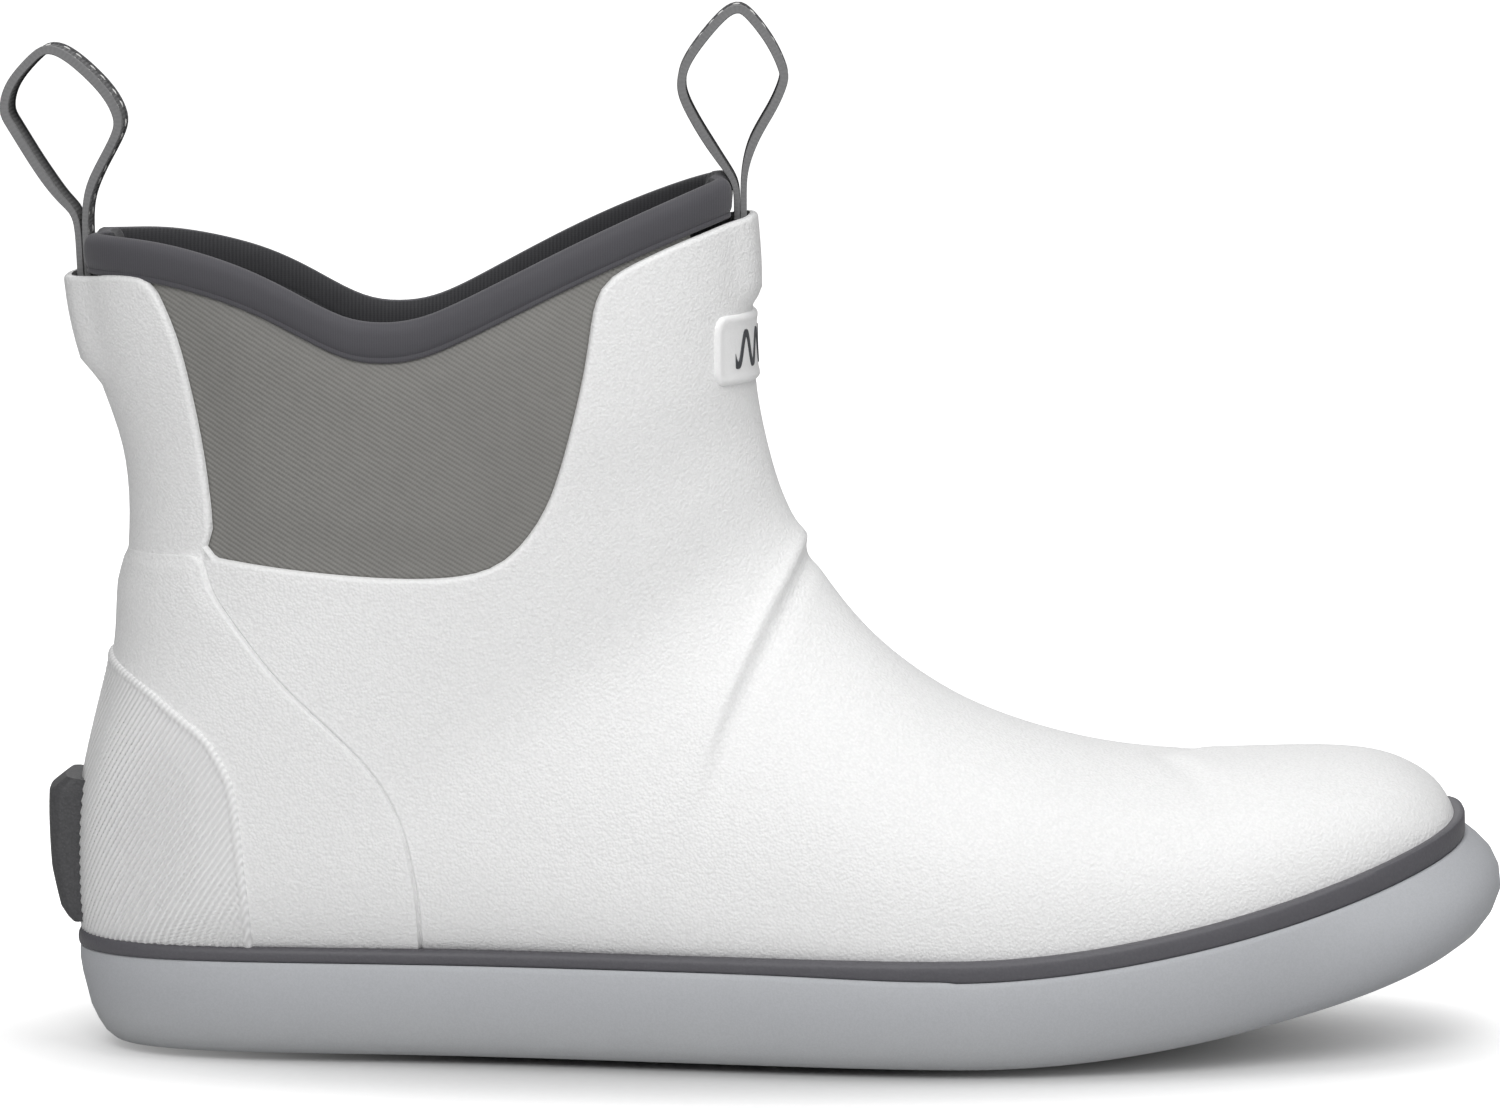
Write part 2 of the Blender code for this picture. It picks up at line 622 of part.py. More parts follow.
def inside_bootie(offset):
    """An offset that dips wherever the bootie does."""
    return lambda row, column: offset - mixed(POCKET, row, column)


def board_and_footbed():
    rows, columns = (foot_row(3.2), foot_row(13.9)), (-3.0, 3.0)
    add_object("lasting_board", plate(rows, columns, 0.0, -BOARD_WALL), BOARD)
    rows, columns = (foot_row(3.4), foot_row(13.9)), (-3.4, 3.4)
    top = BOOTIE_OUTER - NEOPRENE_WALL
    for name, wall, finish in (("footbed_foam", FOOTBED_WALL, FOOTBED), ("footbed_cover", COVER_WALL, COVER)):
        under, top = top - FIT, top - FIT - wall
        add_object(name, plate(rows, columns, inside_bootie(under), inside_bootie(top)), finish)


# ---- Rubber shell and the pieces on it ----
def shell():
    body = add_object("shell", layer(0.0, -SHELL_WALL, SEAM_ROW), WHITE)
    opening = plate((foot_row(3.2) - 0.06, foot_row(13.9) + 0.06), (-3.06, 3.06), 4.0, -SHELL_WALL - 1)
    window = side_prism(side_curve(WINDOW, 3), -90, 90)
    combine(body, "DIFFERENCE", add_cutter("last_opening", opening), add_cutter("window", window))


def rear_panels():
    below = stacked(((constant(20.0), constant(-20.0)), (constant(20.0), lambda x: rim_z(x) + FIT)))
    below = add_cutter("below_rim", below)
    edge = side_curve(QUARTER, 3)
    region = add_cutter("quarter_region", side_prism(np.vstack([edge, [(-30, 5)]]), -90, 90))
    edge = side_curve(PATCH, 3)
    hole = add_cutter("patch_hole", side_prism(np.vstack([edge, [(-30, 5)]]), -90, 90))
    smaller = np.vstack([moved_sideways(edge, -FIT), [(-30, 5)]])
    smaller = add_cutter("patch_region", side_prism(smaller, -90, 90))
    rows = (round(foot_row(8.0)), SEAM_ROW - 2)
    quarter = add_object("rear_quarter", plate(rows, (-10, 10), FIT + QUARTER_WALL, FIT), WHITE)
    combine(quarter, "INTERSECT", region)
    combine(quarter, "DIFFERENCE", hole, below)
    rows = (round(foot_row(11.5)), SEAM_ROW - 4)
    patch = add_object("heel_patch", plate(rows, (-8, 8), FIT + PATCH_WALL, FIT), WHITE)
    combine(patch, "INTERSECT", smaller)
    combine(patch, "DIFFERENCE", below)


def kick_tab():
    base = 2 * FIT + PATCH_WALL
    rows = (row_at(KICK_BOTTOM, 0), row_at(KICK_TOP, 0))
    columns = columns_wide(KICK_WIDTH, rows[0] + 1, 0)

    def outside(row, column):
        rise = (row - rows[0]) / (rows[1] - rows[0])
        edge = np.clip(1.12 - np.abs(column / columns[1]) ** 4, 0.12, 1)
        return base + KICK_DEPTH * edge * (0.34 + 0.66 * smooth_step(rise * 1.25)) * np.where(rise > 0.97, 0.7, 1)

    add_object("kick_tab", plate(rows, columns, outside, base), KICK)


def badge():
    rows = (row_at(BADGE_BOTTOM, FRONT), row_at(BADGE_TOP, FRONT))
    columns = columns_wide(BADGE_WIDTH, sum(rows) / 2, FRONT)
    add_object("badge", plate(rows, columns, FIT + BADGE_WALL, FIT), MARK)


# ---- Bootie, gussets, stiffeners and binding ----
def bootie():
    outer, inner = BOOTIE_OUTER - POCKET, BOOTIE_OUTER - NEOPRENE_WALL - POCKET
    last = TOP_ROW - (BAND_WALL + FIT) / BAND_HEIGHT
    curve = side_curve(WINDOW, 3)
    hole = add_cutter("gusset_hole", side_prism(moved_sideways(curve, -5.0), -90, 90))
    liner = add_object("bootie_liner", layer(outer, inner, last), NEOPRENE)
    combine(liner, "DIFFERENCE", hole)
    for name, low, high in (("outer_gusset", -90, 0), ("inner_gusset", 0, 90)):
        gusset = add_object(name, layer(outer, inner, last), GUSSET)
        region = side_prism(moved_sideways(curve, FIT - 5.0), low, high)
        combine(gusset, "INTERSECT", add_cutter(name + "_region", region))


def stiffeners():
    outer = -SHELL_WALL - FIT
    puff = plate(TOE_PUFF_ROWS, TOE_PUFF_COLUMNS, outer, outer - STIFFENER_WALL)
    add_object("toe_puff", puff, STIFFENER)
    counter = plate(COUNTER_ROWS, COUNTER_COLUMNS, outer, outer - STIFFENER_WALL)
    add_object("heel_counter", counter, STIFFENER)


def collar_binding():
    """A strip folded over the top edge of the bootie and the gussets."""
    top, seam = float(TOP_ROW), SEAM_ROW + FIT / BAND_HEIGHT
    under = top - BAND_WALL / BAND_HEIGHT
    outside, inside = FIT, -NEOPRENE_WALL - FIT
    section = ((seam, outside), (seam, outside + BAND_WALL), (under, outside + BAND_WALL), (top, outside),
               (top, inside), (under, inside - BAND_WALL), (seam, inside - BAND_WALL), (seam, inside),
               (under, inside), (under, outside))
    depth = POCKET[-1]
    column = np.arange(COLUMNS, dtype=float)
    bm = bmesh.new()
    lines = []
    for row, offset in section:
        lines.append([bm.verts.new(p) for p in on_form(row, column, BOOTIE_OUTER - depth + offset)])
    for line, following in zip(lines, lines[1:] + lines[:1]):
        add_triangles(bm, line, following, True)
    add_object("collar_binding", bm, BINDING)


# ---- Pull loops ----
def pull_loop(name, column, reach, lean):
    """The sewn-in tail, and the loop that turns on a hinge line just over the collar."""
    outer = -SHELL_WALL - FIT
    hinge = on_form(float(TOP_ROW), column, outer - TAIL_WALL / 2) + np.array([0, 0, HINGE_RISE])
    low = row_at(BASE[SEAM_ROW, int(column), 2] - TAIL_LENGTH, column)
    columns = columns_wide(STRAP_WIDTH, SEAM_ROW, column)
    tail = plate((low, TOP_ROW), columns, outer, outer - TAIL_WALL)
    add_object(name + "_tail", tail, WEBBING)

    line = natural_spline(LOOP_LINE, np.linspace(0, len(LOOP_LINE) - 1, 21)) * (reach, LOOP_HEIGHT)
    around = np.vstack([line, (line * (-1, 1))[-2:0:-1], [line[0]]])
    thick = STRAP_WALL / 2
    outside = moved_sideways(around, -thick)
    inside = moved_sideways(around, thick)
    stem = TAIL_WALL / 2
    arc = np.linspace(math.pi, 2 * math.pi, 7)
    knuckle = np.column_stack([np.cos(arc), np.sin(arc)]) * stem
    upper = outside[np.abs(outside[:, 0]) > stem + 0.05]
    crown = outside[(np.abs(outside[:, 0]) <= stem + 0.05) & (outside[:, 1] > LOOP_HEIGHT / 2)]
    right = upper[upper[:, 0] > 0]
    left = upper[upper[:, 0] < 0]
    rim = np.vstack([knuckle, right, crown, left])
    hole = inside[(np.abs(inside[:, 0]) > 0.15) | (inside[:, 1] > LOOP_HEIGHT / 2)]
    hole = hole[hole[:, 1] > 1.6]
    bm = bmesh.new()
    for outline in (rim, hole):
        verts = [bm.verts.new((x, -STRAP_WIDTH / 2, z)) for x, z in outline]
        for a, b in zip(verts, verts[1:] + verts[:1]):
            bm.edges.new((a, b))
    bmesh.ops.triangle_fill(bm, use_beauty=True, edges=list(bm.edges))
    moved = bmesh.ops.extrude_face_region(bm, geom=list(bm.faces))
    far = [v for v in moved["geom"] if isinstance(v, bmesh.types.BMVert)]
    bmesh.ops.translate(bm, verts=far, vec=(0, STRAP_WIDTH, 0))
    bmesh.ops.rotate(bm, verts=bm.verts, matrix=Matrix.Rotation(math.radians(lean), 3, "Y"))
    loop = add_object(name, bm, WEBBING)
    loop.location = Vector(hinge) * MM


def centre_over_origin():
    """Puts the middle of the boot's box over the origin, and its lowest point on the floor."""
    bpy.context.view_layer.update()
    graph = bpy.context.evaluated_depsgraph_get()
    corners = []
    for obj in BOOT.objects:
        solid = obj.evaluated_get(graph)
        corners += [solid.matrix_world @ Vector(corner) for corner in solid.bound_box]
    low = Vector(min(c[i] for c in corners) for i in range(3))
    high = Vector(max(c[i] for c in corners) for i in range(3))
    shift = Vector((-(low.x + high.x) / 2, -(low.y + high.y) / 2, -low.z))
    for obj in list(BOOT.objects) + list(CUTTERS.objects):
        obj.location += shift


sole_pieces()
board_and_footbed()
shell()
rear_panels()
kick_tab()
badge()
bootie()
stiffeners()
collar_binding()
pull_loop("front_pull_loop", FRONT, FRONT_LOOP_REACH, 0.0)
pull_loop("rear_pull_loop", 0.0, REAR_LOOP_REACH, REAR_LOOP_LEAN)
centre_over_origin()
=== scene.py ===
"""A white rubber deck boot for the right foot, standing on a pale studio floor.

Each section makes one piece of the boot, or a few that belong together, from the shell outwards, then
inwards and down. Sizes are in millimetres, with X from the back of the heel to the toe, -Y the outer side
of the foot and Z up from the floor.
"""

import math

import bmesh
import bpy
import numpy as np
from mathutils import Matrix, Vector


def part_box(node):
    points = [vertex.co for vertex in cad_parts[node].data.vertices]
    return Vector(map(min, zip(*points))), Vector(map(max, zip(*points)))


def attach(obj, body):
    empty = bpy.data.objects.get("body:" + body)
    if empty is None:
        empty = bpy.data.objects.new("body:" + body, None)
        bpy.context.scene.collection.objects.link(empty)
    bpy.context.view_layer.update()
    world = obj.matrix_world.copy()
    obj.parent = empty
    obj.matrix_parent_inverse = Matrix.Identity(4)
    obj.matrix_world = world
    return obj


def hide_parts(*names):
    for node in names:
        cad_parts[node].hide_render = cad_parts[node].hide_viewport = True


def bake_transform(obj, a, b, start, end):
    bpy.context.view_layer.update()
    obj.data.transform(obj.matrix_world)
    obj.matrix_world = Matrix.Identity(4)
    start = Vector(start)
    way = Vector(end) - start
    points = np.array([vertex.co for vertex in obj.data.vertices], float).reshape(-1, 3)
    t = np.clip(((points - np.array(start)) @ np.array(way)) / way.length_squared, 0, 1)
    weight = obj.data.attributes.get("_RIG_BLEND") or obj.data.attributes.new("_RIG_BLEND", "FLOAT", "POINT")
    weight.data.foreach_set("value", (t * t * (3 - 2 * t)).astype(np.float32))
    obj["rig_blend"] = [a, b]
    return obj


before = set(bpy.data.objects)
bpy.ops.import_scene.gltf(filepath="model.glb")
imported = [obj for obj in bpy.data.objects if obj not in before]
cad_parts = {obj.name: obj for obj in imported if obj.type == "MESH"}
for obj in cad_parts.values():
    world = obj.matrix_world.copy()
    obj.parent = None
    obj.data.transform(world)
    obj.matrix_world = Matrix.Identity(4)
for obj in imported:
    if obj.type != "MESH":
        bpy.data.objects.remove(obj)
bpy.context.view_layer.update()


# ---- Rubber shell ----
# One moulding of white rubber with a fine pebbled skin, open over the ankle at each side. It is
# shaped over a last and pulled under the foot, and everything else is fixed in it or on it.
MM = 0.001
OUTSOLE_TIP = 305.88       # the outsole's tip, from where X starts at the back of the heel
HEEL_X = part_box("outsole")[1].x / MM - OUTSOLE_TIP
STRAP_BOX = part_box("front_pull_loop")
MIDDLE_Y = (STRAP_BOX[0].y + STRAP_BOX[1].y) / 2 / MM

# Sections of the shell's outside, from the tip of the toe to above the collar:
# back x, z, front x, z, outer and inner half width, centre y, corner power low and high, widest at
LAST = np.array((
    (296.8, 42.0, 296.8, 42.0, 0.0, 0.0, 8.0, 2.0, 2.0, 0.50),
    (295.6, 37.6, 296.2, 47.0, 12.0, 11.5, 8.0, 2.1, 2.1, 0.50),
    (293.0, 34.6, 293.8, 52.8, 20.0, 18.5, 7.6, 2.2, 2.2, 0.48),
    (288.8, 31.4, 289.4, 57.2, 27.0, 24.5, 7.2, 2.3, 2.3, 0.45),
    (281.8, 28.6, 281.8, 60.6, 33.5, 30.5, 6.6, 2.5, 2.5, 0.42),
    (271.5, 24.8, 271.0, 62.0, 39.2, 36.2, 5.6, 2.6, 2.6, 0.38),
    (257.0, 20.4, 256.5, 62.0, 43.6, 40.4, 4.2, 2.7, 2.6, 0.35),
    (240.0, 16.4, 240.5, 61.9, 46.2, 43.2, 2.6, 2.8, 2.4, 0.33),
    (220.0, 13.4, 222.0, 63.8, 47.8, 44.6, 0.8, 2.8, 2.3, 0.32),
    (198.0, 11.6, 204.0, 68.6, 48.2, 43.6, -1.0, 2.8, 2.1, 0.31),
    (172.0, 11.6, 189.0, 74.9, 46.8, 41.0, -2.2, 2.8, 2.0, 0.31),
    (140.0, 12.9, 177.0, 82.6, 43.6, 38.4, -2.6, 2.8, 2.0, 0.34),
    (100.0, 15.6, 168.0, 90.6, 40.4, 36.8, -2.0, 2.8, 2.0, 0.38),
    (58.0, 16.4, 161.2, 98.8, 38.2, 36.6, -1.0, 2.7, 2.0, 0.42),
    (14.0, 17.0, 155.8, 106.8, 37.2, 36.8, -0.3, 2.5, 2.1, 0.44),
    (1.2, 24.8, 152.2, 114.0, 37.6, 37.4, 0.0, 2.35, 2.1, 0.45),
    (0.2, 39.0, 149.8, 120.4, 38.2, 38.0, 0.0, 2.3, 2.15, 0.46),
    (1.0, 54.0, 148.0, 126.8, 38.8, 38.8, 0.0, 2.3, 2.2, 0.47),
    (4.3, 70.0, 146.5, 133.2, 39.4, 39.4, 0.0, 2.3, 2.2, 0.48),
    (7.9, 85.5, 145.3, 139.8, 40.0, 40.0, 0.0, 2.3, 2.25, 0.49),
    (10.0, 100.5, 144.6, 146.6, 40.7, 40.7, 0.0, 2.3, 2.3, 0.50),
    (10.9, 115.0, 144.3, 153.6, 41.3, 41.3, 0.0, 2.3, 2.3, 0.50),
    (9.6, 129.0, 144.3, 161.0, 41.7, 41.7, 0.0, 2.3, 2.3, 0.50),
    (5.4, 142.0, 144.2, 168.6, 42.1, 42.1, 0.0, 2.3, 2.3, 0.50),
    (1.6, 154.5, 143.6, 176.4, 42.4, 42.4, 0.0, 2.3, 2.3, 0.50),
    (-0.2, 167.0, 142.9, 184.4, 42.6, 42.6, 0.0, 2.3, 2.3, 0.50),
    (-0.6, 180.0, 142.3, 193.0, 42.7, 42.7, 0.0, 2.3, 2.3, 0.50),
    (-0.8, 194.0, 141.7, 203.0, 42.7, 42.7, 0.0, 2.3, 2.3, 0.50),
))
SHELL_WALL = 1.7
SHELL_LIP = 1.0            # radius of the shell's bound-off top edge
# The shell's top edge from the side: over the back, down round the ankle opening and up the front
SHELL_TOP_BACK = ((-40, 165.4), (-3, 165.8), (7, 166.8), (13.8, 167.0), (17.8, 165.4), (20.2, 161.2),
                  (23.0, 154.2), (25.6, 144.0), (28.0, 131.0), (29.9, 116.0), (29.3, 111.4), (28.0, 108.6))
SHELL_TOP_FRONT = ((28.0, 108.6), (42, 106.8), (55, 105.5), (68, 104.6), (79, 104.6), (88, 106.0),
                   (94.6, 110.0), (100.3, 117.4), (104.2, 127.0), (107.4, 139.0), (109.8, 150.4),
                   (111.4, 160.4), (113.6, 165.8), (118.0, 169.2), (126, 172.8), (140, 177.6), (180, 190))


def spline(values, samples):
    """Values given at 0, 1, 2 ... read off a natural cubic spline at the samples."""
    values = np.asarray(values, float)
    count = len(values)
    system = np.eye(count)
    right = np.zeros_like(values)
    for i in range(1, count - 1):
        system[i, i - 1:i + 2] = (1, 4, 1)
        right[i] = 6 * (values[i + 1] - 2 * values[i] + values[i - 1])
    bend = np.linalg.solve(system, right)
    samples = np.clip(np.asarray(samples, float), 0, count - 1 - 1e-9)
    i = samples.astype(int)
    t = (samples - i).reshape(samples.shape + (1,) * (values.ndim - 1))
    return (values[i] * (1 - t) + values[i + 1] * t
            + ((1 - t) ** 3 - (1 - t)) * bend[i] / 6 + (t ** 3 - t) * bend[i + 1] / 6)


def outline(points, steps=8):
    """A smooth side-view line through its points, as (x, z) pairs."""
    return spline(points, np.linspace(0, len(points) - 1, steps * (len(points) - 1) + 1))


def smooth_step(t):
    """Runs from 0 to 1 while t does, with level ends."""
    t = np.clip(t, 0, 1)
    return t * t * (3 - 2 * t)


def unit(vectors):
    """Each row scaled to a length of 1."""
    return vectors / np.maximum(np.linalg.norm(vectors, axis=1, keepdims=True), 1e-12)


def run_along(line):
    """Distance along a polyline at each of its points."""
    return np.concatenate([[0], np.cumsum(np.linalg.norm(np.diff(line, axis=0), axis=1))])


def last_point(u, v):
    """Points of the shell's outside: u counts the last's sections, and v goes once round each, from the
    sole or the back along the outer side to the front."""
    values = spline(LAST, u)
    along, across = -np.cos(2 * math.pi * v), np.sin(2 * math.pi * v)
    power = np.where(along > 0, values[:, 8], values[:, 7])
    reach = (np.abs(along) ** power + np.abs(across) ** power) ** (-1 / power)
    along, across = along * reach, across * reach
    widest = values[:, 9]
    share = widest + np.where(along > 0, 1 - widest, widest) * along
    half = np.where(across > 0, values[:, 4], values[:, 5])
    x = values[:, 0] + (values[:, 2] - values[:, 0]) * share
    z = values[:, 1] + (values[:, 3] - values[:, 1]) * share
    return np.column_stack([x, values[:, 6] - half * across, z])


def last_normal(u, v):
    """Outward directions of the last's surface, which all meet in one at the tip of the toe."""
    u = np.maximum(u, 0.05)
    along = last_point(u + 0.02, v) - last_point(u - 0.02, v)
    around = last_point(u, v + 0.003) - last_point(u, v - 0.003)
    normal = unit(np.cross(around, along))
    share = smooth_step((u - 0.05) / 0.6)[:, None]
    return unit(normal * share + np.array([1.0, 0.0, 0.0]) * (1 - share))


def even_stations():
    """Sections at even distances along the side of the last."""
    u = np.linspace(0, len(LAST) - 1.02, 400)
    line = last_point(u, np.full_like(u, 0.27))
    run = run_along(line)
    return run / run[-1], u


EVEN_RUN, EVEN_U = even_stations()


def pattern(rows, columns, u_range=(0.0, 26.9), v_range=(0.0, 1.0)):
    """A flat pattern of part of the upper. Y of each vertex is its u and Z its v, and X is free to
    hold a measure to cut along."""
    bm = bmesh.new()
    bmesh.ops.create_grid(bm, x_segments=rows, y_segments=columns, size=0.5)
    ends = np.interp(u_range, EVEN_U, EVEN_RUN)
    for vert in bm.verts:
        run = ends[0] + (ends[1] - ends[0]) * (vert.co.x + 0.5)
        turn = v_range[0] + (v_range[1] - v_range[0]) * (vert.co.y + 0.5)
        vert.co = (0, np.interp(run, EVEN_RUN, EVEN_U), turn)
    return bm


def cut_pattern(bm, measure, levels, trim=None):
    """Cuts the pattern along the lines where measure(u, v) has each level. With trim "below" or
    "above", what lies on that side of the first level is taken away."""
    for i, level in enumerate(levels):
        place = np.array([vert.co for vert in bm.verts])
        for vert, value in zip(bm.verts, measure(place[:, 1], place[:, 2])):
            vert.co.x = value
        bmesh.ops.bisect_plane(
            bm, geom=bm.verts[:] + bm.edges[:] + bm.faces[:], dist=0.03,
            plane_co=(level, 0, 0), plane_no=(1, 0, 0),
            clear_inner=i == 0 and trim == "below", clear_outer=i == 0 and trim == "above")


def lay_on_last(bm, verts, offset):
    """Puts vertices of a pattern on the last, moved out by offset(u, v)."""
    u_layer, v_layer = bm.verts.layers.float["u"], bm.verts.layers.float["v"]
    u = np.array([vert[u_layer] for vert in verts])
    v = np.array([vert[v_layer] for vert in verts])
    points = last_point(u, v) + last_normal(u, v) * np.reshape(offset(u, v) + 0 * u, (-1, 1))
    for vert, point in zip(verts, points):
        vert.co = point


def shape_pattern(bm, outer, inner):
    """Lays the pattern on the last as a wall between two offsets, joined where its ends meet."""
    u_layer = bm.verts.layers.float.new("u")
    v_layer = bm.verts.layers.float.new("v")
    for vert in bm.verts:
        vert[u_layer], vert[v_layer] = vert.co.y, vert.co.z
    lay_on_last(bm, bm.verts[:], outer)
    bmesh.ops.remove_doubles(bm, verts=bm.verts, dist=0.02)
    made = bmesh.ops.extrude_face_region(bm, geom=bm.faces[:], use_keep_orig=True)
    lay_on_last(bm, [part for part in made["geom"] if isinstance(part, bmesh.types.BMVert)], inner)
    bmesh.ops.recalc_face_normals(bm, faces=bm.faces)


def constant(value):
    return lambda u, v: value


def distance_to(line, points):
    """Distances of 2D points from a polyline."""
    best = np.full(len(points), np.inf)
    for a, b in zip(line, line[1:]):
        along = b - a
        t = np.clip((points - a) @ along / max(along @ along, 1e-12), 0, 1)
        best = np.minimum(best, np.linalg.norm(points - a - t[:, None] * along, axis=1))
    return best


def inside(line, points):
    """Whether 2D points lie in the closed polygon of a polyline."""
    found = np.zeros(len(points), bool)
    for a, b in zip(line, np.roll(line, -1, axis=0)):
        crosses = (a[1] > points[:, 1]) != (b[1] > points[:, 1])
        rise = b[1] - a[1] if abs(b[1] - a[1]) > 1e-12 else 1e-12
        at = a[0] + (points[:, 1] - a[1]) / rise * (b[0] - a[0])
        found ^= crosses & (points[:, 0] < at)
    return found


def side_region(line, *corners):
    """A measure for cut_pattern: distance from a side-view line, positive on the side of it that the
    corners close off."""
    area = np.vstack([line, np.array(corners, float)])

    def measure(u, v):
        points = last_point(u, v)[:, [0, 2]]
        return distance_to(line, points) * np.where(inside(area, points), 1, -1)

    return measure


def rounded_edge(distance, radius):
    """Drop of a surface near a rounded edge, at a distance from the edge."""
    t = np.clip(1 - distance / radius, 0, 1)
    return radius * (np.sqrt(np.maximum(1 - t * t, 0)) - 1)


SHELL_TOP = np.vstack([outline(SHELL_TOP_BACK), outline(SHELL_TOP_FRONT)[1:]])
below_shell_top = side_region(SHELL_TOP, (400, 190), (400, -60), (-40, -60))

# Where the shaft laps over the vamp: a soft ridge that fades towards the sole
RIDGE = outline(((161, 121), (155.2, 110.4), (151, 102.4), (146, 93.4), (141, 83.4), (136.8, 74),
                 (133.4, 64), (130.6, 53), (128.6, 42)))
RIDGE_RISE = 1.5
RIDGE_VALLEY = 0.35         # depth of the hollow ahead of the ridge, as a share of the rise
RIDGE_LOW_Z, RIDGE_FADE = 44, 38
behind_ridge = side_region(RIDGE, (128.6, -60), (-60, -60), (-60, 300), (161, 300))

# Front and top edge of the rear quarter, which a fine groove in the shell follows
QUARTER_EDGE = outline(((-30, 107.0), (4, 107.2), (12, 107.6), (20, 108.1), (26.2, 108.4), (28.4, 106.8),
                        (29.2, 103.4), (30.8, 99.8), (34.0, 95.2), (39.3, 88.4), (45.2, 81.6),
                        (52.5, 74.6), (59.6, 67.8), (64.8, 61.6), (68.6, 55.0), (71.0, 48.0),
                        (72.6, 40.0), (73.6, 30.0), (74.0, 4.0)), 6)
in_quarter = side_region(QUARTER_EDGE, (-30, 4))
GROOVE_DEPTH, GROOVE_OFFSET, GROOVE_HALF_WIDTH = 0.8, 0.35, 0.55

MIDWAY_X = 70.0             # parts the back of the shaft from its front
# Swellings over the webbing's ends: half width and slope at the sides, then where each starts and its rise
TAIL_SWELL_HALF_WIDTH, TAIL_SWELL_SLOPE = 18.5, 9.0
BACK_SWELL_Z, BACK_SWELL_RISE = 143.6, 2.5
FRONT_SWELL_Z, FRONT_SWELL_RISE = 159.0, 1.9

TOE_CREASE_X, TOE_CREASE_Y = 235.5, -4.0
TOE_FOLD_RISE = 0.45


def bump_at(distance, width):
    """A smooth bump, 1 where the distance is 0."""
    return np.exp(-(distance / width) ** 2)


def ridge_relief(u, v):
    """The ridge: steep ahead, with a hollow at its foot, and falling away slowly behind."""
    d = behind_ridge(u, v)
    points = last_point(u, v)
    fade = smooth_step((points[:, 2] - RIDGE_LOW_Z) / RIDGE_FADE) * smooth_step((166 - points[:, 0]) / 8)
    crest = np.where(d > 0, 0.6 * bump_at(d, 2.2) + 0.4 * bump_at(d, 8.0), bump_at(d, 1.5))
    return RIDGE_RISE * fade * (crest - RIDGE_VALLEY * bump_at(d + 4.0, 2.0))


def tail_relief(u, v):
    """Swellings at the back and the front of the shaft, where webbing is sewn in under the rubber."""
    points = last_point(u, v)
    side = smooth_step((TAIL_SWELL_HALF_WIDTH - np.abs(points[:, 1])) / TAIL_SWELL_SLOPE)
    behind = points[:, 0] < MIDWAY_X
    back = BACK_SWELL_RISE * smooth_step((points[:, 2] - BACK_SWELL_Z) / 4.2)
    front = FRONT_SWELL_RISE * smooth_step((points[:, 2] - FRONT_SWELL_Z) / 3.6)
    return side * np.where(behind, back, front)


def toe_relief(u, v):
    """A low fold across the top of the toe that dies away at its sides, with a crease behind it."""
    points = last_point(u, v)
    across = np.abs(points[:, 1] - TOE_CREASE_Y)
    ahead = points[:, 0] - TOE_CREASE_X - 0.42 * across
    top = smooth_step((30 - across) / 16) * (points[:, 2] > 50)
    rise = np.where(ahead > 0, bump_at(ahead, 13), bump_at(ahead, 1.6))
    return top * TOE_FOLD_RISE * (rise - bump_at(ahead + 4, 3))


def groove_relief(u, v):
    """A groove just ahead of the quarter's edge, from the ankle opening down."""
    ahead = -in_quarter(u, v)
    low = smooth_step((last_point(u, v)[:, 0] - 26) / 5)
    return -GROOVE_DEPTH * low * np.clip(1 - np.abs(ahead - GROOVE_OFFSET) / GROOVE_HALF_WIDTH, 0, 1)


def shell_relief(u, v):
    lip = rounded_edge(below_shell_top(u, v), SHELL_LIP)
    return lip + ridge_relief(u, v) + tail_relief(u, v) + toe_relief(u, v) + groove_relief(u, v)


def finish_piece(name, bm, materials, body, slot, *replaced, sharp=38):
    """Turns a mesh in millimetres into a piece of the boot, in its place."""
    mesh = bpy.data.meshes.new(name)
    bm.to_mesh(mesh)
    bm.free()
    mesh.transform(Matrix.Scale(MM, 4) @ Matrix.Translation((HEEL_X, MIDDLE_Y, 0)))
    mesh.shade_smooth()
    mesh.set_sharp_from_angle(angle=math.radians(sharp))
    for finish in materials:
        mesh.materials.append(finish)
    piece = bpy.data.objects.new(name, mesh)
    bpy.context.scene.collection.objects.link(piece)
    if replaced:
        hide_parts(*replaced)
    if body:
        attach(piece, body)
    return piece


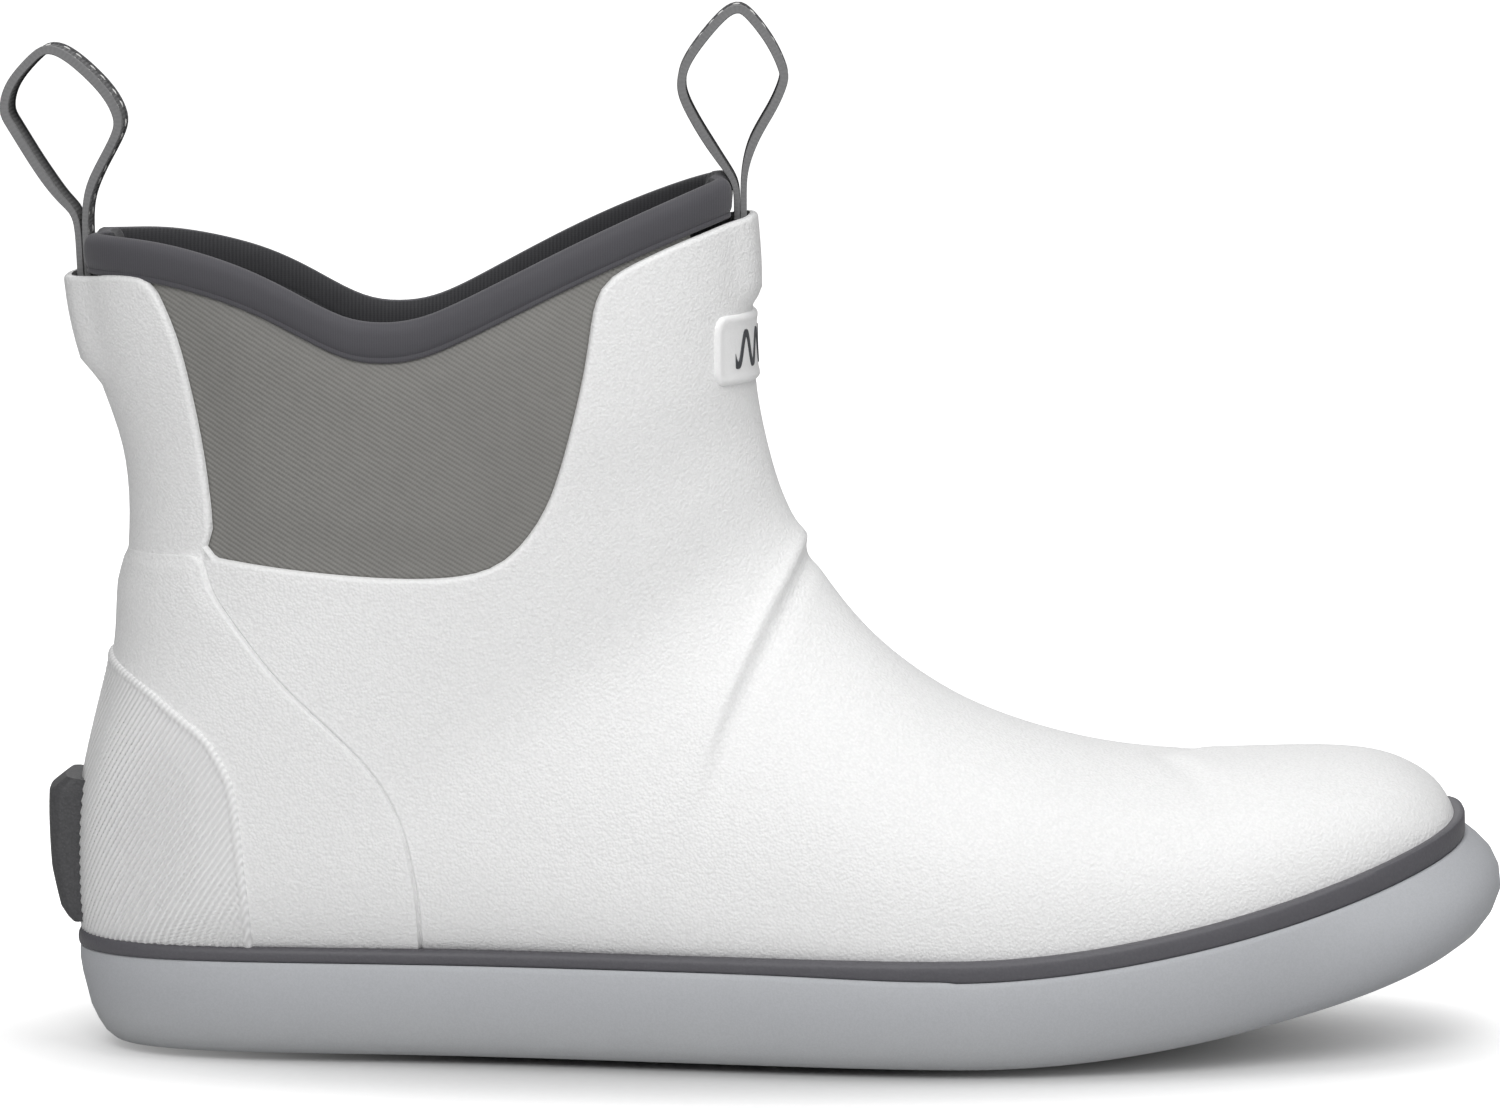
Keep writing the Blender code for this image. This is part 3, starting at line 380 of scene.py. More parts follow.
class Recipe:
    """A material in the making: add() puts in a node, with values or links for its inputs."""

    def __init__(self, name, shader=True):
        if shader:
            self.material = bpy.data.materials.new(name)
            self.material.use_nodes = True
            self.tree = self.material.node_tree
            self.shader = self.tree.nodes["Principled BSDF"]
        else:
            self.tree = bpy.data.node_groups.new(name, "ShaderNodeTree")

    def add(self, kind, settings=None, **inputs):
        node = self.tree.nodes.new(kind)
        for key, value in (settings or {}).items():
            setattr(node, key, value)
        self.feed(node, **inputs)
        return node

    def feed(self, node, **inputs):
        """Sets inputs by name, with _ for a space, or by number as i0, i1 ..."""
        for key, value in inputs.items():
            by_number = key[0] == "i" and key[1:].isdigit()
            socket = node.inputs[int(key[1:]) if by_number else key.replace("_", " ")]
            if isinstance(value, bpy.types.NodeSocket):
                self.tree.links.new(value, socket)
            else:
                socket.default_value = value

    def calculate(self, operation, *values):
        """The result of a Math node."""
        node = self.add("ShaderNodeMath", {"operation": operation})
        self.feed(node, **{f"i{i}": value for i, value in enumerate(values)})
        return node.outputs[0]

    def place(self):
        """Where a point of the surface is, in the boot's own frame in metres."""
        return self.add("ShaderNodeTexCoord").outputs["Object"]

    def blend_colours(self, share, first, second):
        node = self.add("ShaderNodeMix", {"data_type": "RGBA"}, i0=share, i6=first, i7=second)
        return node.outputs[2]

    def relief(self, height, strength, depth):
        """A surface direction from a height that runs from 0 to 1 over a depth in millimetres."""
        node = self.add("ShaderNodeBump", Strength=strength, Distance=depth * MM, Height=height)
        return node.outputs[0]


def group_recipe(name, inputs, outputs):
    """A shared effect with named number inputs and named outputs, all numbers."""
    recipe = Recipe(name, shader=False)
    for label, value in inputs:
        socket = recipe.tree.interface.new_socket(label, in_out="INPUT", socket_type="NodeSocketFloat")
        socket.default_value = value
    for label in outputs:
        recipe.tree.interface.new_socket(label, in_out="OUTPUT", socket_type="NodeSocketFloat")
    recipe.start = recipe.tree.nodes.new("NodeGroupInput")
    recipe.end = recipe.tree.nodes.new("NodeGroupOutput")
    return recipe


def rgb(red, green, blue):
    """A colour given as it looks on a screen, from 0 to 255."""
    def linear(c):
        c /= 255
        return c / 12.92 if c <= 0.04045 else ((c + 0.055) / 1.055) ** 2.4
    return (linear(red), linear(green), linear(blue), 1)


def dimmed(colour, share):
    """A colour with its light cut down to a share."""
    return tuple(c * share for c in colour[:3]) + (1,)


def rubber_grain():
    """Pebbled rubber skin: a height, and a mask of the hollows between the pebbles."""
    group = group_recipe("rubber_grain", [("Pebbles per metre", 1500.0)], ["Height", "Hollows"])
    size = group.start.outputs[0]
    place = group.place()
    cells = group.add("ShaderNodeTexVoronoi", {"feature": "SMOOTH_F1"}, Vector=place, Scale=size,
                      Smoothness=0.6)
    fine = group.add("ShaderNodeTexNoise", Vector=place, Detail=3.0,
                     Scale=group.calculate("MULTIPLY", size, 0.62))
    raised = group.calculate("SUBTRACT", 1.0, cells.outputs["Distance"])
    height = group.calculate("MULTIPLY_ADD", fine.outputs["Fac"], 0.9, raised)
    hollow = group.add("ShaderNodeMapRange", Value=height, From_Min=1.25, From_Max=0.75)
    group.feed(group.end, Height=height, Hollows=hollow.outputs[0])
    return group.tree


RUBBER_GRAIN = rubber_grain()


def broad_patches():
    """Slow changes over a surface, and scattered specks of dust."""
    group = group_recipe("broad_patches", [("Patches per metre", 28.0)], ["Patches", "Specks"])
    place = group.place()
    slow = group.add("ShaderNodeTexNoise", Vector=place, Scale=group.start.outputs[0], Detail=3.0)
    dots = group.add("ShaderNodeTexNoise", Vector=place, Scale=900.0, Detail=1.0)
    specks = group.add("ShaderNodeMapRange", Value=dots.outputs["Fac"], From_Min=0.66, From_Max=0.8)
    group.feed(group.end, Patches=slow.outputs["Fac"], Specks=specks.outputs[0])
    return group.tree


BROAD_PATCHES = broad_patches()


def moulded_rubber(name, light, dark, hollows, roughness, bump, pebbles=1700.0):
    """Moulded rubber: a pebbled skin with painted shade in its hollows, specks of dust, and soft broad
    patches of darker tone.
    """
    recipe = Recipe(name)
    grain = recipe.add("ShaderNodeGroup", {"node_tree": RUBBER_GRAIN}, Pebbles_per_metre=pebbles)
    broad = recipe.add("ShaderNodeGroup", {"node_tree": BROAD_PATCHES})
    shade = recipe.blend_colours(broad.outputs["Patches"], light, dark)
    # Painted shade: the pebbles' hollows are darkened towards a dimmed colour, which also marks the specks
    # of dust.
    share = recipe.calculate("MULTIPLY", grain.outputs["Hollows"], hollows)
    share = recipe.calculate("MULTIPLY_ADD", broad.outputs["Specks"], hollows * 0.4, share)
    dim = dimmed(dark, 0.55)
    rough = recipe.add("ShaderNodeMapRange", Value=broad.outputs["Patches"],
                       To_Min=roughness - 0.05, To_Max=roughness + 0.07)
    recipe.feed(recipe.shader, Base_Color=recipe.blend_colours(share, shade, dim),
                Roughness=rough.outputs[0], Normal=recipe.relief(grain.outputs["Height"], bump, 0.35))
    return recipe.material


# The fourth number is the share of painted shade in the pebbles' hollows, which also sets the dust specks.
WHITE_RUBBER = moulded_rubber("white_rubber", rgb(247, 247, 247), rgb(243, 243, 243), 0.14, 0.5, 0.42)

shell = pattern(150, 150)
cut_pattern(shell, below_shell_top, (0.0, 0.12, 0.4, 0.7, SHELL_LIP), trim="below")
cut_pattern(shell, behind_ridge, (-3.4, -2.0, -0.9, 0.0, 0.9, 2.2))
cut_pattern(shell, in_quarter, (-0.9, -0.35, 0.2))
shape_pattern(shell, shell_relief, lambda u, v: tail_relief(u, v) - SHELL_WALL)
finish_piece("rubber_shell", shell, [WHITE_RUBBER], "boot", "white_rubber", "shell")


# ---- Rear quarter ----
# A second, thinner layer of the same rubber round the back of the foot, moulded on to the shell. Its
# top edge shows as a step at the ankle and its front edge as a fine line down to the stripe.
QUARTER_RISE, ANKLE_STEP = 0.75, 0.95


def quarter_relief(u, v):
    """A thin layer with a rounded front edge, which rises to the ankle and has a soft step there."""
    d = in_quarter(u, v)
    points = last_point(u, v)
    top = smooth_step((points[:, 2] - 101) / 3.0) * smooth_step((22 - points[:, 0]) / 14)
    step = ANKLE_STEP * smooth_step(d / 3.2) * smooth_step((40 - points[:, 0]) / 26)
    soft = rounded_edge(d, 0.35) * (1 - top)
    return QUARTER_RISE * (1 - top) + soft + step * smooth_step((points[:, 2] - 84) / 16)


quarter = pattern(96, 110, (10.0, 21.6), (-0.27, 0.27))
cut_pattern(quarter, in_quarter, (0.0, 0.16, 0.5, 1.2, 2.2, 3.2), trim="below")
shape_pattern(quarter, quarter_relief, constant(-0.4))
finish_piece("rear_quarter_panel", quarter, [WHITE_RUBBER], "boot", "white_rubber", "rear_quarter")


# ---- Heel patch ----
# A thicker pad of white rubber over the heel, moulded with fine slanting ribs that a second set
# crosses towards its front edge. A smooth bevel runs round it.
PATCH_RISE = 1.5
RIB_PITCH = 1.35
RIB_DEPTH = 0.5
RIB_SLANT = math.radians(50)
CROSS_RIBS = 0.4            # how much of the ribs' depth the second set takes at the front edge
HEEL_WRAP, HEEL_WRAP_REACH = 0.62, 37
PATCH_EDGE = outline(((-30, 86.9), (3, 86.7), (8.2, 85.0), (16.0, 80.4), (23.3, 75.3), (29.0, 71.0),
                      (32.4, 66.4), (35.0, 60.5), (36.3, 52.9), (37.1, 44.2), (38.4, 28.0), (38.8, 4.0)), 6)
in_patch = side_region(PATCH_EDGE, (-30, 4))


def round_the_heel(points):
    """Distance forward from the middle of the back, measured round the heel."""
    across = np.abs(points[:, 1])
    return points[:, 0] + HEEL_WRAP * np.minimum(across, HEEL_WRAP_REACH)


def patch_relief(u, v):
    """Ribs in a field, sunk inside a bevelled edge."""
    d = in_patch(u, v)
    points = last_point(u, v)
    ahead = round_the_heel(points)
    turn = 2 * math.pi / RIB_PITCH
    main = np.sin(turn * (ahead * math.sin(RIB_SLANT) - points[:, 2] * math.cos(RIB_SLANT)))
    cross = np.sin(turn * (ahead * math.sin(RIB_SLANT) + points[:, 2] * math.cos(RIB_SLANT)))
    crossing = smooth_step((14 - d) / 12)
    ribs = main * (1 - CROSS_RIBS * crossing) + CROSS_RIBS * cross * crossing
    field = smooth_step((d - 1.3) / 0.8)
    bevel = 0.12 * smooth_step((1.9 - d) / 0.7)
    return PATCH_RISE + rounded_edge(d, 0.9) + bevel + field * RIB_DEPTH * (ribs - 1) / 2


def rib_waves():
    """The same ribs for a surface: 1 on their crests and 0 between them."""
    group = group_recipe("rib_waves", [("Slant", 1.0)], ["Height"])
    place = group.place()
    parts = group.add("ShaderNodeSeparateXYZ", Vector=place).outputs
    across = group.calculate("ABSOLUTE", group.calculate("SUBTRACT", parts["Y"], MIDDLE_Y * MM))
    across = group.calculate("MINIMUM", across, HEEL_WRAP_REACH * MM)
    ahead = group.calculate("MULTIPLY_ADD", across, HEEL_WRAP, parts["X"])
    slant = group.start.outputs[0]
    first = group.calculate("MULTIPLY", ahead, group.calculate("SINE", slant))
    second = group.calculate("MULTIPLY", parts["Z"], group.calculate("COSINE", slant))
    phase = group.calculate("SUBTRACT", first, second)
    phase = group.calculate("SUBTRACT", phase, HEEL_X * MM * math.sin(RIB_SLANT))
    wave = group.calculate("SINE", group.calculate("MULTIPLY", phase, 2 * math.pi / (RIB_PITCH * MM)))
    group.feed(group.end, Height=group.calculate("MULTIPLY_ADD", wave, 0.5, 0.5))
    return group.tree


def ribbed_rubber(name, light, valley):
    """White rubber with painted shade between its ribs, where it is also rougher."""
    recipe = Recipe(name)
    grain = recipe.add("ShaderNodeGroup", {"node_tree": RUBBER_GRAIN}, Pebbles_per_metre=1900.0)
    ribs = recipe.add("ShaderNodeGroup", {"node_tree": rib_waves()}, Slant=RIB_SLANT)
    height = recipe.calculate("MULTIPLY_ADD", grain.outputs["Height"], 0.12, ribs.outputs["Height"])
    rough = recipe.add("ShaderNodeMapRange", Value=ribs.outputs["Height"], To_Min=0.62, To_Max=0.5)
    # Painted shade: the valleys between the ribs take the darker colour.
    recipe.feed(recipe.shader, Base_Color=recipe.blend_colours(ribs.outputs["Height"], valley, light),
                Roughness=rough.outputs[0], Normal=recipe.relief(height, 0.5, 0.35))
    return recipe.material


# rgb(230, 230, 230) is the painted shade in the valleys between the ribs.
RIBBED_RUBBER = ribbed_rubber("ribbed_rubber", rgb(246, 246, 246), rgb(230, 230, 230))

patch = pattern(200, 375, (12.6, 19.4), (-0.19, 0.19))
cut_pattern(patch, in_patch, (0.0, 0.12, 0.35, 0.7, 1.3, 1.9), trim="below")
shape_pattern(patch, patch_relief, constant(-0.3))
finish_piece("ribbed_heel_patch", patch, [RIBBED_RUBBER], "boot", "white_rubber", "heel_patch")


# ---- Kick tab ----
# A block of charcoal rubber bonded to the back of the heel, to push the other boot's toe against when
# pulling this one off. It is deepest at its top, which slopes, and thins towards the sole.
KICK_BOTTOM, KICK_TOP = 27.4, 57.6
KICK_HALF_WIDTH = 9.6
# Heights over the bottom, and how far the block stands out from the patch there
KICK_DEPTH = ((0.0, 1.9), (1.2, 2.9), (3.2, 4.0), (11.2, 5.6), (19.6, 6.2), (26.6, 6.8), (27.4, 6.6),
              (30.2, 3.8))
KICK_SIDE_SHARE = 0.72      # how deep its sides are, next to its middle

CHARCOAL = moulded_rubber("charcoal_rubber", rgb(80, 80, 82), rgb(70, 70, 72), 0.35, 0.6, 0.35, 1900.0)


def kick_relief(u, v):
    points = last_point(u, v)
    across = np.abs(points[:, 1])
    depth = np.interp(points[:, 2] - KICK_BOTTOM, *np.transpose(KICK_DEPTH))
    middle = smooth_step((KICK_HALF_WIDTH - across) / 2.0)
    depth = depth * (KICK_SIDE_SHARE + (1 - KICK_SIDE_SHARE) * middle)
    return PATCH_RISE - 0.4 + depth * smooth_step((KICK_HALF_WIDTH + 0.3 - across) / 0.8)


def kick_height(u, v):
    return last_point(u, v)[:, 2]


def kick_side(u, v):
    return KICK_HALF_WIDTH - np.abs(last_point(u, v)[:, 1])


kick = pattern(60, 64, (13.6, 18.2), (-0.07, 0.07))
cut_pattern(kick, kick_height, (KICK_BOTTOM, KICK_BOTTOM + 1.2, KICK_BOTTOM + 3.2), trim="below")
cut_pattern(kick, kick_height, (KICK_TOP, KICK_TOP - 2.8, KICK_TOP - 3.6), trim="above")
cut_pattern(kick, kick_side, (0.0, 0.4, 0.8, 2.0, 3.2), trim="below")
shape_pattern(kick, kick_relief, constant(0.4))
finish_piece("heel_kick_tab", kick, [CHARCOAL], "boot", "charcoal_rubber", "kick_tab", sharp=30)


# ---- Badge ----
# A raised plate of smooth white rubber moulded round the front of the shaft, with a rolled rim. It
# carries a plain wave line in dark grey.
BADGE_BOTTOM, BADGE_TOP = 143.4, 158.2
BADGE_HALF_WIDTH = 26.8
BADGE_CORNER = 3.2
BADGE_RISE, BADGE_RIM = 0.8, 0.2
FRONT_WRAP, SHAFT_FRONT_X = 0.45, 144.4
WAVE_LENGTH, WAVE_HEIGHT, WAVE_STROKE = 8.4, 6.6, 1.5
WAVE_REACH, WAVE_RISE = 20.0, 1.0

BADGE_WHITE = moulded_rubber("badge_rubber", rgb(247, 247, 247), rgb(243, 243, 243), 0.04, 0.45, 0.1)
MARK_GREY = moulded_rubber("mark_rubber", rgb(66, 68, 72), rgb(60, 62, 66), 0.1, 0.5, 0.1)


def round_the_front(points):
    """Distance from the middle of the front, measured round it towards the inner side."""
    back = np.maximum(SHAFT_FRONT_X - points[:, 0], 0)
    return np.sign(points[:, 1]) * (np.abs(points[:, 1]) + FRONT_WRAP * back)


def in_badge(u, v):
    """How far a point lies within the badge's round-cornered outline."""
    points = last_point(u, v)
    low, high = BADGE_BOTTOM + BADGE_CORNER, BADGE_TOP - BADGE_CORNER
    over = points[:, 2] - np.clip(points[:, 2], low, high)
    across = np.abs(round_the_front(points))
    beyond = np.maximum(across - (BADGE_HALF_WIDTH - BADGE_CORNER), 0)
    within = np.minimum(BADGE_HALF_WIDTH - across, BADGE_CORNER)
    return np.where((over == 0) & (beyond == 0), within, BADGE_CORNER - np.hypot(over, beyond))


def badge_relief(u, v):
    d = in_badge(u, v)
    return BADGE_RISE + rounded_edge(d, 0.9) + BADGE_RIM * bump_at(d - 1.2, 0.8)


def on_wave(u, v):
    """How far a point lies within the stroke of the wave line."""
    points = last_point(u, v)
    across = round_the_front(points)
    turn = 2 * math.pi * across / WAVE_LENGTH
    slope = math.pi * WAVE_HEIGHT / WAVE_LENGTH * np.cos(turn)
    off = np.abs(points[:, 2] - (BADGE_BOTTOM + BADGE_TOP) / 2 - WAVE_HEIGHT / 2 * np.sin(turn))
    off = off / np.sqrt(1 + slope ** 2)
    return np.minimum(WAVE_STROKE / 2 - off, WAVE_REACH - np.abs(across))


badge = pattern(44, 90, (18.6, 24.0), (0.36, 0.64))
cut_pattern(badge, in_badge, (0.0, 0.14, 0.45, 0.9, 1.6), trim="below")
shape_pattern(badge, badge_relief, constant(-0.3))
finish_piece("shaft_badge", badge, [BADGE_WHITE], "boot", "badge_rubber", "badge")

wave = pattern(90, 200, (19.2, 23.4), (0.38, 0.62))
cut_pattern(wave, on_wave, (0.0, 0.12), trim="below")
shape_pattern(wave, lambda u, v: WAVE_RISE + rounded_edge(on_wave(u, v), 0.2), constant(0.6))
finish_piece("badge_wave", wave, [MARK_GREY], "boot", "badge_rubber")


# ---- Side gussets ----
# A panel of grey twill stretch cloth on thin foam rubber at each side of the ankle, sewn to the bootie
# and showing through the shell's openings. It swells a little between its edges.
GUSSET_WALL = 1.2
GUSSET_DEPTH, GUSSET_SWELL = 2.0, 1.0
GUSSET_MARGIN = 5.0
TWILL_SLANT = math.radians(58)
TWILL_PITCH = 0.95
# The collar's top edge from the side, back to front
COLLAR_TOP = outline(((-20, 175.2), (-8, 175.2), (10, 174.9), (24, 173.0), (38, 168.4), (50, 162.2),
                      (59, 157.8), (67, 156.6), (76, 158.2), (88, 164.0), (104, 172.4), (120, 179.7),
                      (136, 185.7), (150, 189.6), (166, 193.4)))


def collar_lean(points):
    """The collar dips a little less at the outer side, and lies lower at the back of the inner side."""
    middle = np.exp(-((points[:, 0] - 66) / 30) ** 2)
    back = smooth_step((50 - points[:, 0]) / 30)
    return 1.8 * middle * smooth_step(-points[:, 1] / 25) - 1.0 * back * smooth_step(points[:, 1] / 25)


def within_collar(drop):
    """A measure of how far a point lies below the collar's top edge, less a drop."""
    def measure(u, v):
        points = last_point(u, v)
        top = np.interp(points[:, 0], COLLAR_TOP[:, 0], COLLAR_TOP[:, 1]) + collar_lean(points)
        return top - drop - points[:, 2]
    return measure


def in_gusset(u, v):
    return GUSSET_MARGIN - below_shell_top(u, v)


def gusset_outside(u, v):
    """Sunk behind the shell, swelling towards its middle, and flat again under the collar."""
    edge = -below_shell_top(u, v)
    swell = smooth_step(edge / 13)
    near_top = smooth_step((16 - within_collar(0)(u, v)) / 10)
    return -GUSSET_DEPTH + GUSSET_SWELL * swell * (1 - near_top)


def cloth_twill():
    """Twill: slanting ribs with finer yarns across them."""
    group = group_recipe("cloth_twill", [("Slant", 1.0), ("Ribs", 1.0)], ["Height", "Valleys"])
    place = group.place()
    turned = group.add("ShaderNodeVectorRotate", {"rotation_type": "Y_AXIS"}, Vector=place,
                       Angle=group.start.outputs["Slant"])
    uneven = group.add("ShaderNodeTexNoise", Vector=place, Scale=260.0, Detail=2.0)
    ribs = group.add("ShaderNodeTexWave", {"bands_direction": "X"}, Vector=turned.outputs[0],
                     Scale=group.start.outputs["Ribs"], Distortion=0.7, Detail=1.0, Detail_Scale=2.0)
    yarns = group.add("ShaderNodeTexWave", {"bands_direction": "Z"}, Vector=turned.outputs[0],
                      Scale=group.calculate("MULTIPLY", group.start.outputs["Ribs"], 1.7), Distortion=0.6)
    both = group.calculate("MULTIPLY_ADD", yarns.outputs["Fac"], 0.35, ribs.outputs["Fac"])
    height = group.calculate("MULTIPLY_ADD", uneven.outputs["Fac"], 0.5, both)
    valleys = group.add("ShaderNodeMapRange", Value=height, From_Min=1.25, From_Max=0.35)
    group.feed(group.end, Height=height, Valleys=valleys.outputs[0])
    return group.tree


CLOTH_TWILL = cloth_twill()


def band_scale(pitch):
    """The Wave texture's scale for bands this many millimetres apart."""
    return 2 * math.pi / (20 * pitch * MM)


def twill_cloth(name, light, dark, slant, pitch, valleys, bump, sheen):
    """Cloth with ribs at a slant and a pitch, with painted shade in its valleys and soft broad patches of
    darker tone.
    """
    recipe = Recipe(name)
    twill = recipe.add("ShaderNodeGroup", {"node_tree": CLOTH_TWILL}, Slant=slant, Ribs=band_scale(pitch))
    broad = recipe.add("ShaderNodeGroup", {"node_tree": BROAD_PATCHES})
    shade = recipe.blend_colours(broad.outputs["Patches"], light, dark)
    dim = dimmed(dark, 0.5)
    # Painted shade: the weave's valleys are darkened towards a dimmed colour.
    share = recipe.calculate("MULTIPLY", twill.outputs["Valleys"], valleys)
    rough = recipe.add("ShaderNodeMapRange", Value=twill.outputs["Valleys"], To_Min=0.72, To_Max=0.9)
    recipe.feed(recipe.shader, Base_Color=recipe.blend_colours(share, shade, dim),
                Roughness=rough.outputs[0], Sheen_Weight=sheen, Sheen_Roughness=0.4,
                Normal=recipe.relief(twill.outputs["Height"], bump, 0.15))
    return recipe.material


GUSSET_CLOTH = twill_cloth("gusset_cloth", rgb(142, 141, 137), rgb(132, 131, 128), TWILL_SLANT,
                           TWILL_PITCH, 0.35, 0.6, 0.1)

for gusset_name, node, turn in (("outer_gusset_panel", "outer_gusset", (0.1, 0.4)),
                                ("inner_gusset_panel", "inner_gusset", (0.6, 0.9))):
    gusset = pattern(60, 70, (14.5, 26.0), turn)
    cut_pattern(gusset, within_collar(2.4), (0.0,), trim="below")
    cut_pattern(gusset, in_gusset, (0.0, GUSSET_MARGIN), trim="below")
    shape_pattern(gusset, gusset_outside, lambda u, v: gusset_outside(u, v) - GUSSET_WALL)
    finish_piece(gusset_name, gusset, [GUSSET_CLOTH], "boot", "stretch_cloth", node)


# ---- Bootie ----
# The lining: a sock of foam rubber faced with charcoal knit, sewn up the back and bonded into the
# shell. It gives way inwards where the pull loops' webbing is sewn in behind the shell's top edge.
BOOTIE_OUTSIDE, BOOTIE_INSIDE = -3.5, -5.1
BACK_TAIL_DIP, FRONT_TAIL_DIP = 3.9, 2.6
TAIL_DIP_END = 44.0         # how far below the collar's top edge the dip ends


def tail_dip(u, v):
    """How much deeper the bootie and its collar lie behind the sewn-in webbing."""
    points = last_point(u, v)
    side = smooth_step((15.0 - np.abs(points[:, 1])) / 5.5)
    end = smooth_step((TAIL_DIP_END - within_collar(0)(u, v)) / 10)
    return np.where(points[:, 0] < MIDWAY_X, BACK_TAIL_DIP, FRONT_TAIL_DIP) * side * end


def knit_cloth(name, light, dark, pitch, valleys, bump, sheen):
    """A plain knit in fine upright columns."""
    return twill_cloth(name, light, dark, 0.0, pitch, valleys, bump, sheen)


LINING_CLOTH = knit_cloth("lining_cloth", rgb(56, 56, 59), rgb(48, 48, 51), 0.8, 0.3, 0.3, 0.12)

bootie = pattern(104, 110)
cut_pattern(bootie, within_collar(3.0), (0.0,), trim="below")
shape_pattern(bootie, lambda u, v: BOOTIE_OUTSIDE - tail_dip(u, v),
              lambda u, v: BOOTIE_INSIDE - tail_dip(u, v))
finish_piece("bootie_lining", bootie, [LINING_CLOTH], "boot", "neoprene", "bootie_liner")


def sheet_piece(place, along, around, size=(1.0, 1.0)):
    """A grid laid out by place(s, t), with both shares from 0 to 1, its UVs in the units of size."""
    bm = bmesh.new()
    uv = bm.loops.layers.uv.new("UVMap")
    bmesh.ops.create_grid(bm, x_segments=along, y_segments=around, size=0.5, calc_uvs=True)
    for face in bm.faces:
        for loop in face.loops:
            corner = loop.vert.co
            loop[uv].uv = ((corner.x + 0.5) * size[0], (corner.y + 0.5) * size[1])
    shares = np.array([vert.co for vert in bm.verts]) + 0.5
    for vert, point in zip(bm.verts, place(shares[:, 0], shares[:, 1])):
        vert.co = point
    bmesh.ops.remove_doubles(bm, verts=bm.verts, dist=0.004)
    bmesh.ops.recalc_face_normals(bm, faces=bm.faces)
    return bm


# ---- Collar ----
# A strip of smooth charcoal stretch cloth over soft foam, folded over the top edge of the bootie and
# the gussets and sewn through along its lower edge, so that it swells above the stitching. Past the
# fold its inner face is the lining's knit.
# Its section: drop below the top edge, and depth in from the shell's outside
COLLAR_SECTION = ((8.6, 2.0), (8.5, 1.35), (8.1, 1.05), (7.6, 1.1), (7.3, 1.3), (7.0, 1.05), (6.2, 0.7),
                  (5.0, 0.5), (3.6, 0.45), (2.2, 0.55), (1.2, 0.9), (0.45, 1.6), (0.05, 2.6), (0.1, 3.6),
                  (0.6, 4.6), (1.5, 5.2), (3.2, 5.6), (5.0, 5.7), (6.6, 5.65), (7.2, 5.5), (7.6, 5.6),
                  (8.2, 5.55), (8.5, 5.35), (8.3, 5.2), (3.4, 5.15), (2.4, 4.4), (2.2, 3.4), (2.6, 2.4),
                  (4.0, 2.1), (8.6, 2.0))
COLLAR_COLUMNS = 240
COLLAR_FOLD = 0.46          # share of the way round the section where the lining's knit begins


def collar_rows():
    """For each column round the top, the section u at each drop below the collar's edge."""
    u = np.linspace(18.0, 26.97, 300)
    drops = np.linspace(0.0, 10.0, 21)
    rows = []
    for turn in np.linspace(0, 1, COLLAR_COLUMNS + 1):
        below = within_collar(0.0)(u, np.full_like(u, turn))
        rows.append(np.interp(drops, below[::-1], u[::-1]))
    return drops, np.array(rows)


COLLAR_DROPS, COLLAR_ROWS = collar_rows()


def collar_place(s, t):
    """Points of the collar: s goes round the top of the boot, and t round the collar's section."""
    where = t * (len(COLLAR_SECTION) - 1)
    section = np.array(COLLAR_SECTION)
    steps = np.arange(len(section))
    drop, depth = np.interp(where, steps, section[:, 0]), np.interp(where, steps, section[:, 1])
    column = np.clip(np.round(s * COLLAR_COLUMNS).astype(int), 0, COLLAR_COLUMNS)
    u = np.array([np.interp(one, COLLAR_DROPS, COLLAR_ROWS[c]) for one, c in zip(drop, column)])
    return last_point(u, s) - last_normal(u, s) * (depth + tail_dip(u, s))[:, None]


COLLAR_CLOTH = knit_cloth("collar_cloth", rgb(80, 79, 84), rgb(75, 74, 79), 0.5, 0.05, 0.04, 0.2)

collar = sheet_piece(collar_place, COLLAR_COLUMNS, 2 * (len(COLLAR_SECTION) - 1))
collar_uv = collar.loops.layers.uv.active
for face in collar.faces:
    face.material_index = int(face.loops[0][collar_uv].uv.y > COLLAR_FOLD)
collar_piece = finish_piece("padded_collar", collar, [COLLAR_CLOTH, LINING_CLOTH], "boot",
                            "binding_cloth", "collar_binding", sharp=80)


# ---- Pull loops ----
# Two loops of grey webbing, each a single strap with thick woven edges. It goes up from between the
# shell and the bootie, round, and down again, and its two ends are sewn together below the fork.
STRAP_HALF_WIDTH = 8.0
STRAP_STEPS = 150
# Half of the strap's section: distance from its middle, and half thickness
STRAP_SECTION = ((0.0, 0.55), (6.3, 0.55), (6.55, 0.66), (6.8, 0.92), (7.75, 0.95), (8.0, 0.78))
# Middle line of each strap from the side, up its back leg and down its front one
FRONT_LOOP = ((140.85, 162), (140.85, 171), (140.85, 180), (140.3, 185.2), (137.7, 189.6),
              (133.6, 195.8), (130.0, 202.4), (129.1, 206.6), (130.3, 211.0), (134.2, 216.6),
              (138.2, 220.9), (140.8, 222.2), (143.4, 220.9), (147.8, 215.2), (150.4, 209.8),
              (150.6, 206.6), (148.4, 201.4), (144.9, 195.2), (142.9, 189.6), (142.3, 185.2),
              (142.25, 180), (142.25, 171), (142.25, 162))
REAR_LOOP = ((3.4, 150), (2.3, 158), (1.4, 168), (0.6, 177.4), (-2.6, 182.0), (-7.9, 189.3),
             (-12.5, 196.8), (-14.3, 200.6), (-13.6, 204.8), (-11.0, 208.9), (-7.2, 212.7),
             (-4.7, 213.6), (-2.0, 212.7), (2.0, 209.7), (6.8, 204.7), (9.4, 200.0), (9.4, 196.2),
             (6.9, 191.0), (3.8, 184.6), (2.6, 177.6), (2.9, 168), (3.7, 158), (4.8, 150))
FORK_SPAN = 9.0            # height above the fork at which the strap has its full thickness
SEWN_FLATNESS = 0.72       # share of its thickness below the fork
